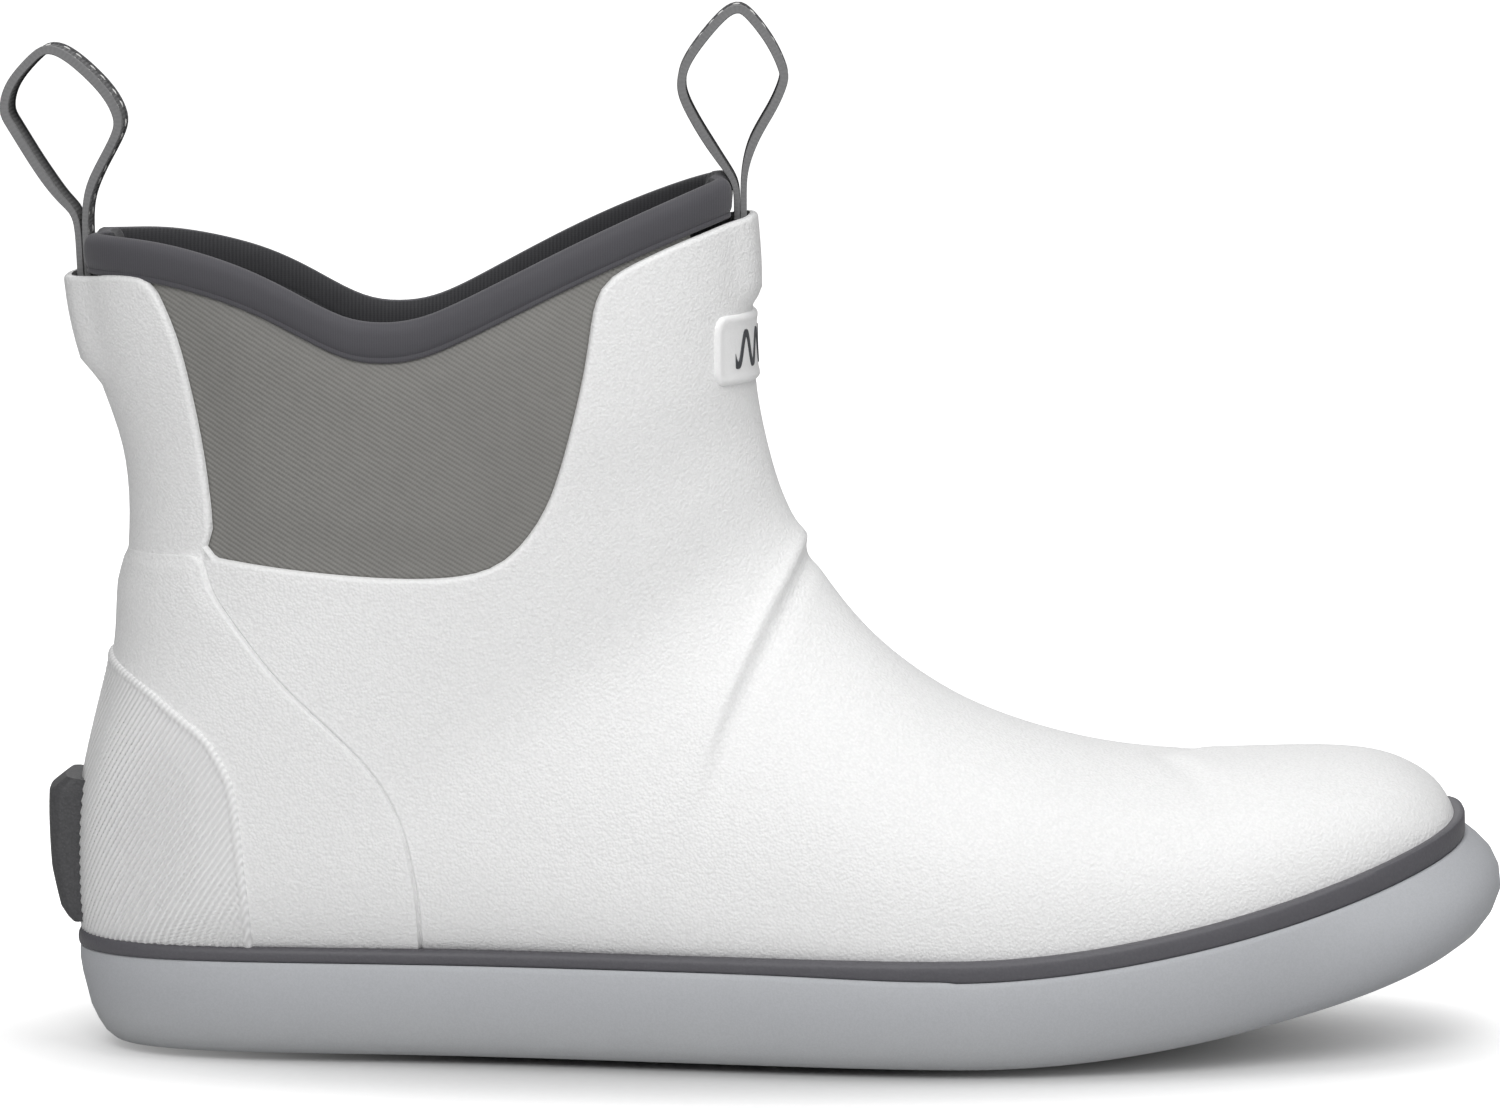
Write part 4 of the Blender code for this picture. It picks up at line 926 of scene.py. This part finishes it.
EDGE_START = 6.7           # where the thick edges begin, from the middle of the strap
STITCH_PITCH = 3.4
STITCH_SIZE = (1.9, 0.7, 0.5)
STITCH_FROM_MIDDLE, STITCH_RISE = 5.0, 0.55
SEAM_BELOW_FORK = 12.0     # how far below the fork the two seams start
FACE_SLOT, EDGE_SLOT, THREAD_SLOT, BACK_SLOT = range(4)


def strap_web():
    """Webbing: ribs across the strap, from its own UVs, which are in metres."""
    group = group_recipe("strap_web", [("Ribs", 1.0)], ["Height", "Valleys"])
    place = group.add("ShaderNodeTexCoord").outputs["UV"]
    ribs = group.add("ShaderNodeTexWave", {"bands_direction": "X"}, Vector=place,
                     Scale=group.start.outputs["Ribs"], Distortion=0.4, Detail=1.0)
    yarns = group.add("ShaderNodeTexWave", {"bands_direction": "Y"}, Vector=place,
                      Scale=group.calculate("MULTIPLY", group.start.outputs["Ribs"], 0.8), Distortion=0.4)
    height = group.calculate("MULTIPLY_ADD", yarns.outputs["Fac"], 0.7, ribs.outputs["Fac"])
    valleys = group.add("ShaderNodeMapRange", Value=height, From_Min=1.1, From_Max=0.2)
    group.feed(group.end, Height=height, Valleys=valleys.outputs[0])
    return group.tree


STRAP_WEB = strap_web()


def webbing(name, light, dark, valleys, bump):
    """Woven strap, or its thread, with painted shade between the ribs and small uneven patches of darker
    tone.
    """
    recipe = Recipe(name)
    web = recipe.add("ShaderNodeGroup", {"node_tree": STRAP_WEB}, Ribs=band_scale(0.9))
    broad = recipe.add("ShaderNodeGroup", {"node_tree": BROAD_PATCHES}, Patches_per_metre=180.0)
    shade = recipe.blend_colours(broad.outputs["Patches"], light, dark)
    dim = dimmed(dark, 0.45)
    # Painted shade: the valleys between the ribs are darkened towards a dimmed colour.
    share = recipe.calculate("MULTIPLY", web.outputs["Valleys"], valleys)
    rough = recipe.add("ShaderNodeMapRange", Value=web.outputs["Valleys"], To_Min=0.62, To_Max=0.85)
    recipe.feed(recipe.shader, Base_Color=recipe.blend_colours(share, shade, dim),
                Roughness=rough.outputs[0], Sheen_Weight=0.12,
                Normal=recipe.relief(web.outputs["Height"], bump, 0.25))
    return recipe.material


WEB_FACE = webbing("webbing_face", rgb(74, 74, 76), rgb(62, 62, 64), 0.5, 0.6)
WEB_EDGE = webbing("webbing_edge", rgb(128, 128, 129), rgb(120, 120, 121), 0.06, 0.08)
WEB_BACK = webbing("webbing_back", rgb(40, 40, 42), rgb(32, 32, 34), 0.4, 0.4)
THREAD = webbing("strap_thread", rgb(240, 240, 238), rgb(228, 228, 226), 0.1, 0.1)


def strap_line(points):
    """Evenly spaced points of a strap's middle line, their outward directions, and its length."""
    curve = outline(points, 12)
    run = run_along(curve)
    even = np.linspace(0, run[-1], STRAP_STEPS + 1)
    line = np.column_stack([np.interp(even, run, curve[:, 0]), np.interp(even, run, curve[:, 1])])
    tangent = unit(np.gradient(line, axis=0))
    return line, np.column_stack([-tangent[:, 1], tangent[:, 0]]), run[-1]


def strap_ring():
    """The strap's section, all the way round, as (across, out) pairs."""
    half = np.array(STRAP_SECTION)
    side = np.vstack([half[::-1] * (-1, 1), half[1:]])
    return np.vstack([side, side[::-1] * (1, -1), side[:1]])


def make_strap(name, points, fork_z, slot, body, start_z, end_z, *nodes):
    """A strap along its middle line, with two seams of stitches, that bends between two heights."""
    line, outward, length = strap_line(points)
    ring = strap_ring()
    full = smooth_step((line[:, 1] - fork_z) / FORK_SPAN)
    flat = SEWN_FLATNESS + (1 - SEWN_FLATNESS) * full

    def place(s, t):
        i = np.round(s * STRAP_STEPS).astype(int)
        where = t * (len(ring) - 1)
        across = np.interp(where, np.arange(len(ring)), ring[:, 0])
        out = np.interp(where, np.arange(len(ring)), ring[:, 1]) * flat[i]
        middle = line[i] + outward[i] * out[:, None]
        return np.column_stack([middle[:, 0], across, middle[:, 1]])

    bm = sheet_piece(place, STRAP_STEPS, len(ring) - 1, (length * MM, 2 * STRAP_HALF_WIDTH * MM))
    bmesh.ops.holes_fill(bm, edges=[edge for edge in bm.edges if edge.is_boundary], sides=0)
    bmesh.ops.recalc_face_normals(bm, faces=bm.faces)
    uv = bm.loops.layers.uv.active
    for face in bm.faces:
        if abs(face.calc_center_median().y) > EDGE_START:
            face.material_index = EDGE_SLOT
        elif face.loops[0][uv].uv.y < STRAP_HALF_WIDTH * MM:
            face.material_index = FACE_SLOT
        else:
            face.material_index = BACK_SLOT
    run = np.linspace(0, length, STRAP_STEPS + 1)
    for at in np.arange(3.0, length - 3.0, STITCH_PITCH):
        i = int(np.searchsorted(run, at))
        if line[i, 1] < fork_z - SEAM_BELOW_FORK:
            continue
        tangent = np.array([outward[i, 1], -outward[i, 0]])
        turn = Matrix(((tangent[0], 0, outward[i, 0]),
                       (0, 1, 0),
                       (tangent[1], 0, outward[i, 1]))).to_4x4()
        spot = line[i] + outward[i] * STITCH_RISE * flat[i]
        for side in (-STITCH_FROM_MIDDLE, STITCH_FROM_MIDDLE):
            matrix = Matrix.Translation((spot[0], side, spot[1])) @ turn @ Matrix.Diagonal((*STITCH_SIZE, 1))
            made = bmesh.ops.create_icosphere(bm, subdivisions=1, radius=0.5, matrix=matrix)
            for face in {face for vert in made["verts"] for face in vert.link_faces}:
                face.material_index = THREAD_SLOT
    strap = finish_piece(name, bm, [WEB_FACE, WEB_EDGE, THREAD, WEB_BACK], None, slot, *nodes, sharp=50)
    place_x = (HEEL_X + points[0][0]) * MM
    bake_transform(strap, "boot", body, start=(place_x, 0, start_z * MM), end=(place_x, 0, end_z * MM))


make_strap("front_pull_strap", FRONT_LOOP, 186.0, "webbing", "front_loop", 184.0, 192.0,
           "front_pull_loop", "front_pull_loop_tail")
make_strap("rear_pull_strap", REAR_LOOP, 178.0, "webbing", "rear_loop", 173.0, 181.0,
           "rear_pull_loop", "rear_pull_loop_tail")


# ---- Foxing stripe ----
# A narrow band of dark grey rubber cemented round the joint between the shell and the sole. Its ends
# and its widened toe piece overlap in low laps.
RIM_HEIGHT, RIM_TOE_RISE = 25.2, 3.2
TOE_SPRING, SPRING_START, SOLE_LENGTH = 25.5, 187.0, 305.5
STRIPE_HEIGHT = 3.1
TOE_LAP_X, SIDE_LAP_X, HEEL_LAP_X = 184.0, 138.4, 74.4
SOLE_COLUMNS = 320


def spring(x):
    """Rise of the sole over the floor, forward of the ball."""
    ahead = np.maximum(x - SPRING_START, 0)
    return TOE_SPRING * (ahead / (SOLE_LENGTH - SPRING_START)) ** 2


def rim_z(x):
    """Height of the stripe's top edge."""
    return RIM_HEIGHT + RIM_TOE_RISE * smooth_step((x - 170) / 120) + spring(x)


def stripe_height(x):
    """The stripe widens towards the toe, with a small step at a lap."""
    wider = 0.8 * smooth_step((x - 140) / 46) + 0.35 * smooth_step((x - TOE_LAP_X) / 2.0)
    return STRIPE_HEIGHT + wider + 1.1 * smooth_step((x - 200) / 90)


def upper_edge():
    """Where the upper meets the top of the stripe, seen from above, at even steps round the sole from
    the middle of the heel along the outer side, with the outward directions there."""
    runs = []
    for start in (0.0, 1.0):
        run = []
        for u in np.linspace(1.0, 16.5, 260):
            line = last_point(np.full(240, u), np.linspace(start, 0.5, 240))
            height = line[:, 2] - rim_z(line[:, 0])
            crossing = np.nonzero((height[:-1] < 0) & (height[1:] >= 0))[0]
            if len(crossing):
                i = crossing[0]
                t = height[i] / (height[i] - height[i + 1])
                run.append(line[i, :2] * (1 - t) + line[i + 1, :2] * t)
        runs.append(run)
    loop = np.array(runs[0][::-1] + runs[1])
    first = int(np.argmin(loop[:, 0]))
    loop = np.roll(loop, -first, axis=0)
    loop = np.vstack([loop, loop[:1]])
    run = run_along(loop)
    even = np.linspace(0, run[-1], SOLE_COLUMNS + 1)[:-1]
    loop = np.column_stack([np.interp(even, run, loop[:, i]) for i in (0, 1)])
    for _ in range(6):
        loop = 0.5 * loop + 0.25 * (np.roll(loop, 1, axis=0) + np.roll(loop, -1, axis=0))
    tangent = unit(np.roll(loop, -2, axis=0) - np.roll(loop, 2, axis=0))
    out = np.column_stack([tangent[:, 1], -tangent[:, 0]])
    return loop, -out if out[0, 0] > 0 else out


EDGE, EDGE_OUT = upper_edge()


def sole_place(levels):
    """A layout for sheet_piece: round the sole, through (grow, height) levels that follow x."""
    def place(s, t):
        column = np.round(s * SOLE_COLUMNS).astype(int) % SOLE_COLUMNS
        where = t * (len(levels) - 1)
        low = np.clip(where.astype(int), 0, len(levels) - 2)
        share = where - low
        edge, out = EDGE[column], EDGE_OUT[column]
        grow = np.zeros(len(s))
        height = np.zeros(len(s))
        for level, (one_grow, one_height) in enumerate(levels):
            weight = np.where(low == level, 1 - share, 0) + np.where(low + 1 == level, share, 0)
            step = one_grow(edge[:, 0])
            grow += weight * step
            height += weight * one_height(edge[:, 0] + out[:, 0] * step)
        spot = edge + out * grow[:, None]
        return np.column_stack([spot, height])
    return place


def lap(x):
    """Low laps where pieces of the stripe overlap."""
    side = smooth_step((x - SIDE_LAP_X) / 0.8) - smooth_step((x - 240) / 60)
    return 0.22 * side + 0.15 * smooth_step((HEEL_LAP_X - x) / 0.7)


STRIPE_RUBBER = moulded_rubber("stripe_rubber", rgb(92, 91, 96), rgb(86, 85, 90), 0.15, 0.5, 0.12)

# Its section, all the way round: distance out from the upper, share of its height, and height over that
STRIPE_SECTION = ((-1.6, 1.0, 0.0), (0.9, 1.0, 0.0), (1.7, 1.0, -0.12), (2.25, 1.0, -0.5), (2.5, 1.0, -1.1),
                  (2.55, 0.5, 0.0), (2.55, 0.0, 0.7), (2.4, 0.0, 0.2), (2.0, 0.0, -0.1),
                  (-1.6, 0.0, -0.1), (-1.6, 1.0, 0.0))


def stripe_level(out, share, up):
    def grow(x):
        return out + lap(x) * (out > 0)

    def height(x):
        return rim_z(x) - stripe_height(x) * (1 - share) + up

    return grow, height


stripe_levels = [stripe_level(*row) for row in STRIPE_SECTION]
stripe = sheet_piece(sole_place(stripe_levels), SOLE_COLUMNS, len(STRIPE_SECTION) - 1)
finish_piece("foxing_band", stripe, [STRIPE_RUBBER], "boot", "stripe_rubber", "foxing_stripe")


# ---- Outsole ----
# A cup of pale grey rubber, moulded in one piece, that the shell sits in. Its wall bulges a little, its
# heel is rounded under and its toe turns up.
SOLE_BASE = 1.2
# Sidewall from the floor up: share of its height, then outward at the sides, and what the heel and
# the toe add
SIDEWALL = np.array((
    (0.000, -6.6, -1.6, 3.6), (0.004, -5.2, -1.6, 4.6), (0.03, -2.6, -1.8, 6.2), (0.09, -0.6, -2.2, 7.3),
    (0.19, 1.0, -2.4, 7.9), (0.34, 2.5, -2.4, 7.8), (0.52, 3.4, -2.4, 6.5), (0.68, 3.7, -1.9, 4.8),
    (0.84, 3.5, -1.2, 2.6), (0.94, 3.1, -0.8, 1.2), (0.985, 2.85, -0.6, 0.6), (1.0, 2.5, -0.6, 0.4)))
HEEL_LIFT = 2.2
CUP_INSIDE, CUP_FLOOR = -2.4, 4.5


def tread_low(x):
    """Height of the lowest points: flat, but rounded up under the heel and sprung at the toe."""
    return spring(x) + HEEL_LIFT * smooth_step((16 - x) / 22) ** 2


def sole_low(x):
    """The underside's height, above the tread pads' faces."""
    return SOLE_BASE + tread_low(x)


def wall_top(x):
    """Where the sidewall ends, just under the stripe."""
    return rim_z(x) - stripe_height(x) - 0.1


def wall_level(share, side, heel, toe):
    def grow(x):
        return side + heel * smooth_step(1 - x / 45) + toe * smooth_step((x - 250) / 42)

    def height(x):
        return sole_low(x) + share * (wall_top(x) - sole_low(x))

    return grow, height


def cup_inside(x):
    return CUP_INSIDE + 0 * x


def cup_floor(x):
    return sole_low(x) + CUP_FLOOR


def sole_rubber(name, light, near_floor_colour, dark):
    """Sole rubber with flow-like broad patches, another colour towards the floor, and painted shade in the
    pebbles' hollows.
    """
    recipe = Recipe(name)
    height = recipe.add("ShaderNodeSeparateXYZ", Vector=recipe.place()).outputs["Z"]
    broad = recipe.add("ShaderNodeGroup", {"node_tree": BROAD_PATCHES}, Patches_per_metre=40.0)
    grain = recipe.add("ShaderNodeGroup", {"node_tree": RUBBER_GRAIN}, Pebbles_per_metre=2600.0)
    uneven = recipe.calculate("MULTIPLY_ADD", broad.outputs["Patches"], 0.006, height)
    low = recipe.add("ShaderNodeMapRange", {"interpolation_type": "SMOOTHSTEP"}, Value=uneven,
                     From_Min=0.02, From_Max=0.003)
    shade = recipe.blend_colours(low.outputs[0], light, near_floor_colour)
    # Painted shade: the grain's hollows are darkened towards the dark colour.
    share = recipe.calculate("MULTIPLY", grain.outputs["Hollows"], 0.10)
    rough = recipe.add("ShaderNodeMapRange", Value=broad.outputs["Patches"], To_Min=0.5, To_Max=0.64)
    recipe.feed(recipe.shader, Base_Color=recipe.blend_colours(share, shade, dark),
                Roughness=rough.outputs[0], Normal=recipe.relief(grain.outputs["Height"], 0.15, 0.12))
    return recipe.material


# On the sole the band near the floor is lighter: painted light, standing in for light bounced up from the
# floor.
SOLE_RUBBER = sole_rubber("sole_rubber", rgb(181, 183, 187), rgb(188, 190, 192), rgb(120, 121, 124))

cup_levels = [wall_level(*row) for row in SIDEWALL] + [(cup_inside, wall_top), (cup_inside, cup_floor)]
outsole = sheet_piece(sole_place(cup_levels), SOLE_COLUMNS, len(cup_levels) - 1)
open_edges = [edge for edge in outsole.edges if edge.is_boundary]
underside = [edge for edge in open_edges if edge.verts[0].co.z < sole_low(edge.verts[0].co.x) + 1.0]
bmesh.ops.holes_fill(outsole, edges=underside, sides=0)
bmesh.ops.holes_fill(outsole, edges=[edge for edge in outsole.edges if edge.is_boundary], sides=0)
bmesh.ops.recalc_face_normals(outsole, faces=outsole.faces)
finish_piece("cup_outsole", outsole, [SOLE_RUBBER], "boot", "sole_rubber", "outsole")


# ---- Tread pads ----
# Two pads of softer rubber let into the underside, under the heel and the ball. Zigzag grooves and
# fine slits cut them into blocks that let water out.
TREAD_MARGIN = 12.0
BLOCK_PITCH, GROOVE = 9.0, 1.7
SLITS = ((3.35, 0.45), (4.9, 0.45))
ZIGZAG_WIDTH, ZIGZAG_DEPTH = 13.0, 3.4
TREAD_COLUMNS, TREAD_WALL = 44, 2.6
FOOTPRINT_ROW = SIDEWALL[3]

TREAD_RUBBER = sole_rubber("tread_rubber", rgb(174, 176, 179), rgb(168, 170, 173), rgb(110, 111, 114))


def tread_sides(x):
    """The pads' outer and inner edges at x."""
    footprint, _ = wall_level(*FOOTPRINT_ROW)
    grow = footprint(EDGE[:, 0]) - TREAD_MARGIN
    ring = EDGE + EDGE_OUT * grow[:, None]
    tip, heel = int(np.argmax(ring[:, 0])), int(np.argmin(ring[:, 0]))
    ring = np.roll(ring, -heel, axis=0)
    tip = (tip - heel) % len(ring)
    sides = []
    for run in (ring[:tip + 1], np.vstack([ring[tip:], ring[:1]])[::-1]):
        sides.append(np.interp(x, np.maximum.accumulate(run[:, 0]), run[:, 1]))
    return np.minimum(*sides), np.maximum(*sides)


def tread_rows(start, stop):
    """Edges of the blocks along the sole, and whether what follows each is rubber."""
    rows, rubber = [start], []
    at = start
    while at < stop - 2:
        for offset, gap in (*SLITS, (BLOCK_PITCH - GROOVE, GROOVE)):
            rows += [min(at + offset, stop), min(at + offset + gap, stop)]
            rubber += [True, False]
        at += BLOCK_PITCH
    return np.array(rows), rubber


def make_tread(name, node, start, stop):
    """A pad from start to stop along the sole, cut into blocks."""
    rows, rubber = tread_rows(start, stop)

    def place(s, t):
        x = rows[np.round(s * (len(rows) - 1)).astype(int)]
        low, high = tread_sides(x)
        y = low + (high - low) * t
        cycle = np.abs((y / ZIGZAG_WIDTH) % 1 - 0.5) * 2
        edge = np.minimum(np.minimum(t, 1 - t) * 8, 1)
        x = np.clip(x + ZIGZAG_DEPTH * (cycle - 0.5) * edge, start, stop)
        return np.column_stack([x, y, tread_low(x)])

    bm = bmesh.new()
    bmesh.ops.create_grid(bm, x_segments=len(rows) - 1, y_segments=TREAD_COLUMNS, size=0.5)
    gaps = []
    for face in bm.faces:
        row = int((face.calc_center_median().x + 0.5) * (len(rows) - 1))
        if not rubber[min(row, len(rubber) - 1)]:
            gaps.append(face)
    bmesh.ops.delete(bm, geom=gaps, context="FACES")
    shares = np.array([vert.co for vert in bm.verts]) + 0.5
    for vert, point in zip(bm.verts, place(shares[:, 0], shares[:, 1])):
        vert.co = point
    bmesh.ops.dissolve_degenerate(bm, dist=0.02, edges=bm.edges)
    made = bmesh.ops.extrude_face_region(bm, geom=bm.faces[:], use_keep_orig=True)
    top = [part for part in made["geom"] if isinstance(part, bmesh.types.BMVert)]
    bmesh.ops.translate(bm, verts=top, vec=(0, 0, TREAD_WALL))
    bmesh.ops.recalc_face_normals(bm, faces=bm.faces)
    finish_piece(name, bm, [TREAD_RUBBER], "boot", "tread_rubber", node, sharp=30)


make_tread("heel_tread_blocks", "heel_tread", 12.0, 84.0)
make_tread("ball_tread_blocks", "forefoot_tread", 138.0, 290.0)


# ---- Footbed ----
# A moulded foam footbed covered with brushed knit, lying loose in the bootie. It rises at its edges
# and cups the heel.
FOOTBED_FOAM_WALL, FOOTBED_COVER_WALL = 4.0, 0.9
FOOTBED_EDGE = 0.35         # share of the foam's thickness at its edge
FOOTBED_GAP = 0.2
FOOTBED_U, FOOTBED_V = (3.3, 13.9), (-0.125, 0.125)


def footbed_top(u, v):
    """The foam's upper face, which thins out towards the footbed's edge."""
    side = (FOOTBED_V[1] - np.abs(v)) / 0.02
    end = np.minimum(u - FOOTBED_U[0], FOOTBED_U[1] - u) / 0.35
    full = FOOTBED_EDGE + (1 - FOOTBED_EDGE) * smooth_step(np.minimum(side, end))
    return BOOTIE_INSIDE - 0.3 - FOOTBED_FOAM_WALL * full


FOOTBED_FOAM = moulded_rubber("footbed_foam", rgb(118, 122, 128), rgb(104, 108, 114), 0.4, 0.85, 0.6, 900.0)
FOOTBED_CLOTH = knit_cloth("footbed_cloth", rgb(92, 92, 95), rgb(78, 78, 82), 1.1, 0.4, 0.6, 0.3)

foam = pattern(70, 40, FOOTBED_U, FOOTBED_V)
shape_pattern(foam, constant(BOOTIE_INSIDE - FOOTBED_GAP), footbed_top)
foam_piece = finish_piece("footbed_pad", foam, [FOOTBED_FOAM], "boot", "footbed_foam", "footbed_foam")

cover = pattern(70, 40, FOOTBED_U, FOOTBED_V)
shape_pattern(cover, lambda u, v: footbed_top(u, v) - 0.02,
              lambda u, v: footbed_top(u, v) - FOOTBED_COVER_WALL)
finish_piece("footbed_knit_cover", cover, [FOOTBED_CLOTH], "boot", "footbed_cloth", "footbed_cover")


# ---- Hidden layers ----
# The foam midsole, the fibre board that the shell is lasted to, and the moulded stiffeners of the toe
# and the heel stay as they are in the frame, between the pieces above.
STIFFENER_LIGHT, STIFFENER_DARK = rgb(158, 153, 147), rgb(149, 144, 138)
HIDDEN_LAYERS = (
    ("midsole", "midsole_foam", rgb(206, 206, 203), rgb(196, 196, 192), 0.3, 0.85, 0.5, 1200.0),
    ("lasting_board", "fibre_board", rgb(172, 156, 130), rgb(160, 143, 118), 0.4, 0.85, 0.5, 700.0),
    ("toe_puff", "toe_stiffener", STIFFENER_LIGHT, STIFFENER_DARK, 0.2, 0.7, 0.3),
    ("heel_counter", "heel_stiffener", STIFFENER_LIGHT, STIFFENER_DARK, 0.2, 0.7, 0.3),
)
for node, *finish in HIDDEN_LAYERS:
    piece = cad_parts[node]
    piece.data.materials.clear()
    piece.data.materials.append(moulded_rubber(*finish))


# ---- Studio ----
# A light grey paper floor with painted light: for the camera only it glows away from the boot, so it
# looks white there. An even white surround, four soft lights (front, toe, top and back), and a long
# lens on the boot's outer side, looking slightly down.
def add_to_scene(name, data):
    added = bpy.data.objects.new(name, data)
    bpy.context.scene.collection.objects.link(added)
    return added


FLOOR_GAP = 0.2            # keeps the floor clear of the blocks that rest on it
FLOOR_HALF_SIZE = 12.0
GLOW_START, GLOW_END = 0.035, 0.125
PAPER_DARK, PAPER_LIGHT = (0.60, 0.60, 0.60, 1), (0.64, 0.64, 0.64, 1)

paper = Recipe("floor_paper")
paper_place = paper.place()
paper_fibres = paper.add("ShaderNodeTexNoise", Vector=paper_place, Scale=500.0, Detail=2.0)
paper_oval = paper.add("ShaderNodeVectorMath", {"operation": "MULTIPLY"}, i0=paper_place, i1=(0.5, 1, 0))
paper_far = paper.add("ShaderNodeVectorMath", {"operation": "LENGTH"}, i0=paper_oval.outputs[0])
# Painted light: the paper glows, for camera rays only, more the farther it lies from the boot.
painted_paper_glow = paper.add("ShaderNodeMapRange", {"interpolation_type": "SMOOTHSTEP"},
                       Value=paper_far.outputs["Value"], From_Min=GLOW_START, From_Max=GLOW_END)
paper_seen = paper.add("ShaderNodeLightPath").outputs["Is Camera Ray"]
paper.feed(paper.shader, Roughness=0.9, Specular_IOR_Level=0.1, Emission_Color=(1, 1, 1, 1),
           Emission_Strength=paper.calculate("MULTIPLY", painted_paper_glow.outputs[0], paper_seen),
           Base_Color=paper.blend_colours(paper_fibres.outputs["Fac"], PAPER_DARK, PAPER_LIGHT))
floor = bmesh.new()
bmesh.ops.create_grid(floor, x_segments=1, y_segments=1, size=FLOOR_HALF_SIZE)
bmesh.ops.translate(floor, verts=floor.verts, vec=(0, 0, -FLOOR_GAP * MM))
floor_mesh = bpy.data.meshes.new("studio_floor")
floor.to_mesh(floor_mesh)
floor.free()
floor_mesh.materials.append(paper.material)
add_to_scene("studio_floor", floor_mesh)

CAMERA_X, CAMERA_DISTANCE, CAMERA_Z = 143.6, 1550, 290
CAMERA_DOWN = math.radians(6.8)
camera = add_to_scene("camera", bpy.data.cameras.new("camera"))
camera.location = Vector((HEEL_X + CAMERA_X, MIDDLE_Y - CAMERA_DISTANCE, CAMERA_Z)) * MM
camera.rotation_euler = (math.pi / 2 - CAMERA_DOWN, 0, 0)
camera.data.lens = 174.8
camera.data.clip_end = 60
bpy.context.scene.camera = camera

world = bpy.data.worlds.new("studio_surround")
bpy.context.scene.world = world
world.use_nodes = True
sky = world.node_tree
surround = sky.nodes["Background"]
seen = sky.nodes.new("ShaderNodeBackground")
for background, strength in ((surround, 0.28), (seen, 1.0)):
    background.inputs["Color"].default_value = (1, 1, 1, 1)
    background.inputs["Strength"].default_value = strength
rays = sky.nodes.new("ShaderNodeLightPath")
choice = sky.nodes.new("ShaderNodeMixShader")
for output, socket in ((rays.outputs["Is Camera Ray"], choice.inputs[0]),
                       (surround.outputs[0], choice.inputs[1]),
                       (seen.outputs[0], choice.inputs[2]),
                       (choice.outputs[0], sky.nodes["World Output"].inputs["Surface"])):
    sky.links.new(output, socket)
bpy.context.scene.view_settings.view_transform = "Standard"


def soft_light(name, size, power, place, aim):
    """A square light, size in metres and power in watts, turned to its aim."""
    light = add_to_scene(name, bpy.data.lights.new(name, "AREA"))
    light.data.size = size
    light.data.energy = power
    light.location = place
    light.rotation_euler = (Vector(aim) - Vector(place)).to_track_quat("-Z", "Y").to_euler()


soft_light("front_light", 0.9, 16.2, (-0.2, -1.5, 1.2), (0, 0, 0.05))
soft_light("toe_light", 0.6, 1.7, (0.5, -0.6, 0.85), (0.12, 0, 0.04))
soft_light("top_light", 1.0, 8, (0.25, -0.1, 1.7), (0.05, 0, 0.05))
soft_light("back_light", 1.2, 6, (-0.3, 1.5, 1.1), (0, 0, 0.08))
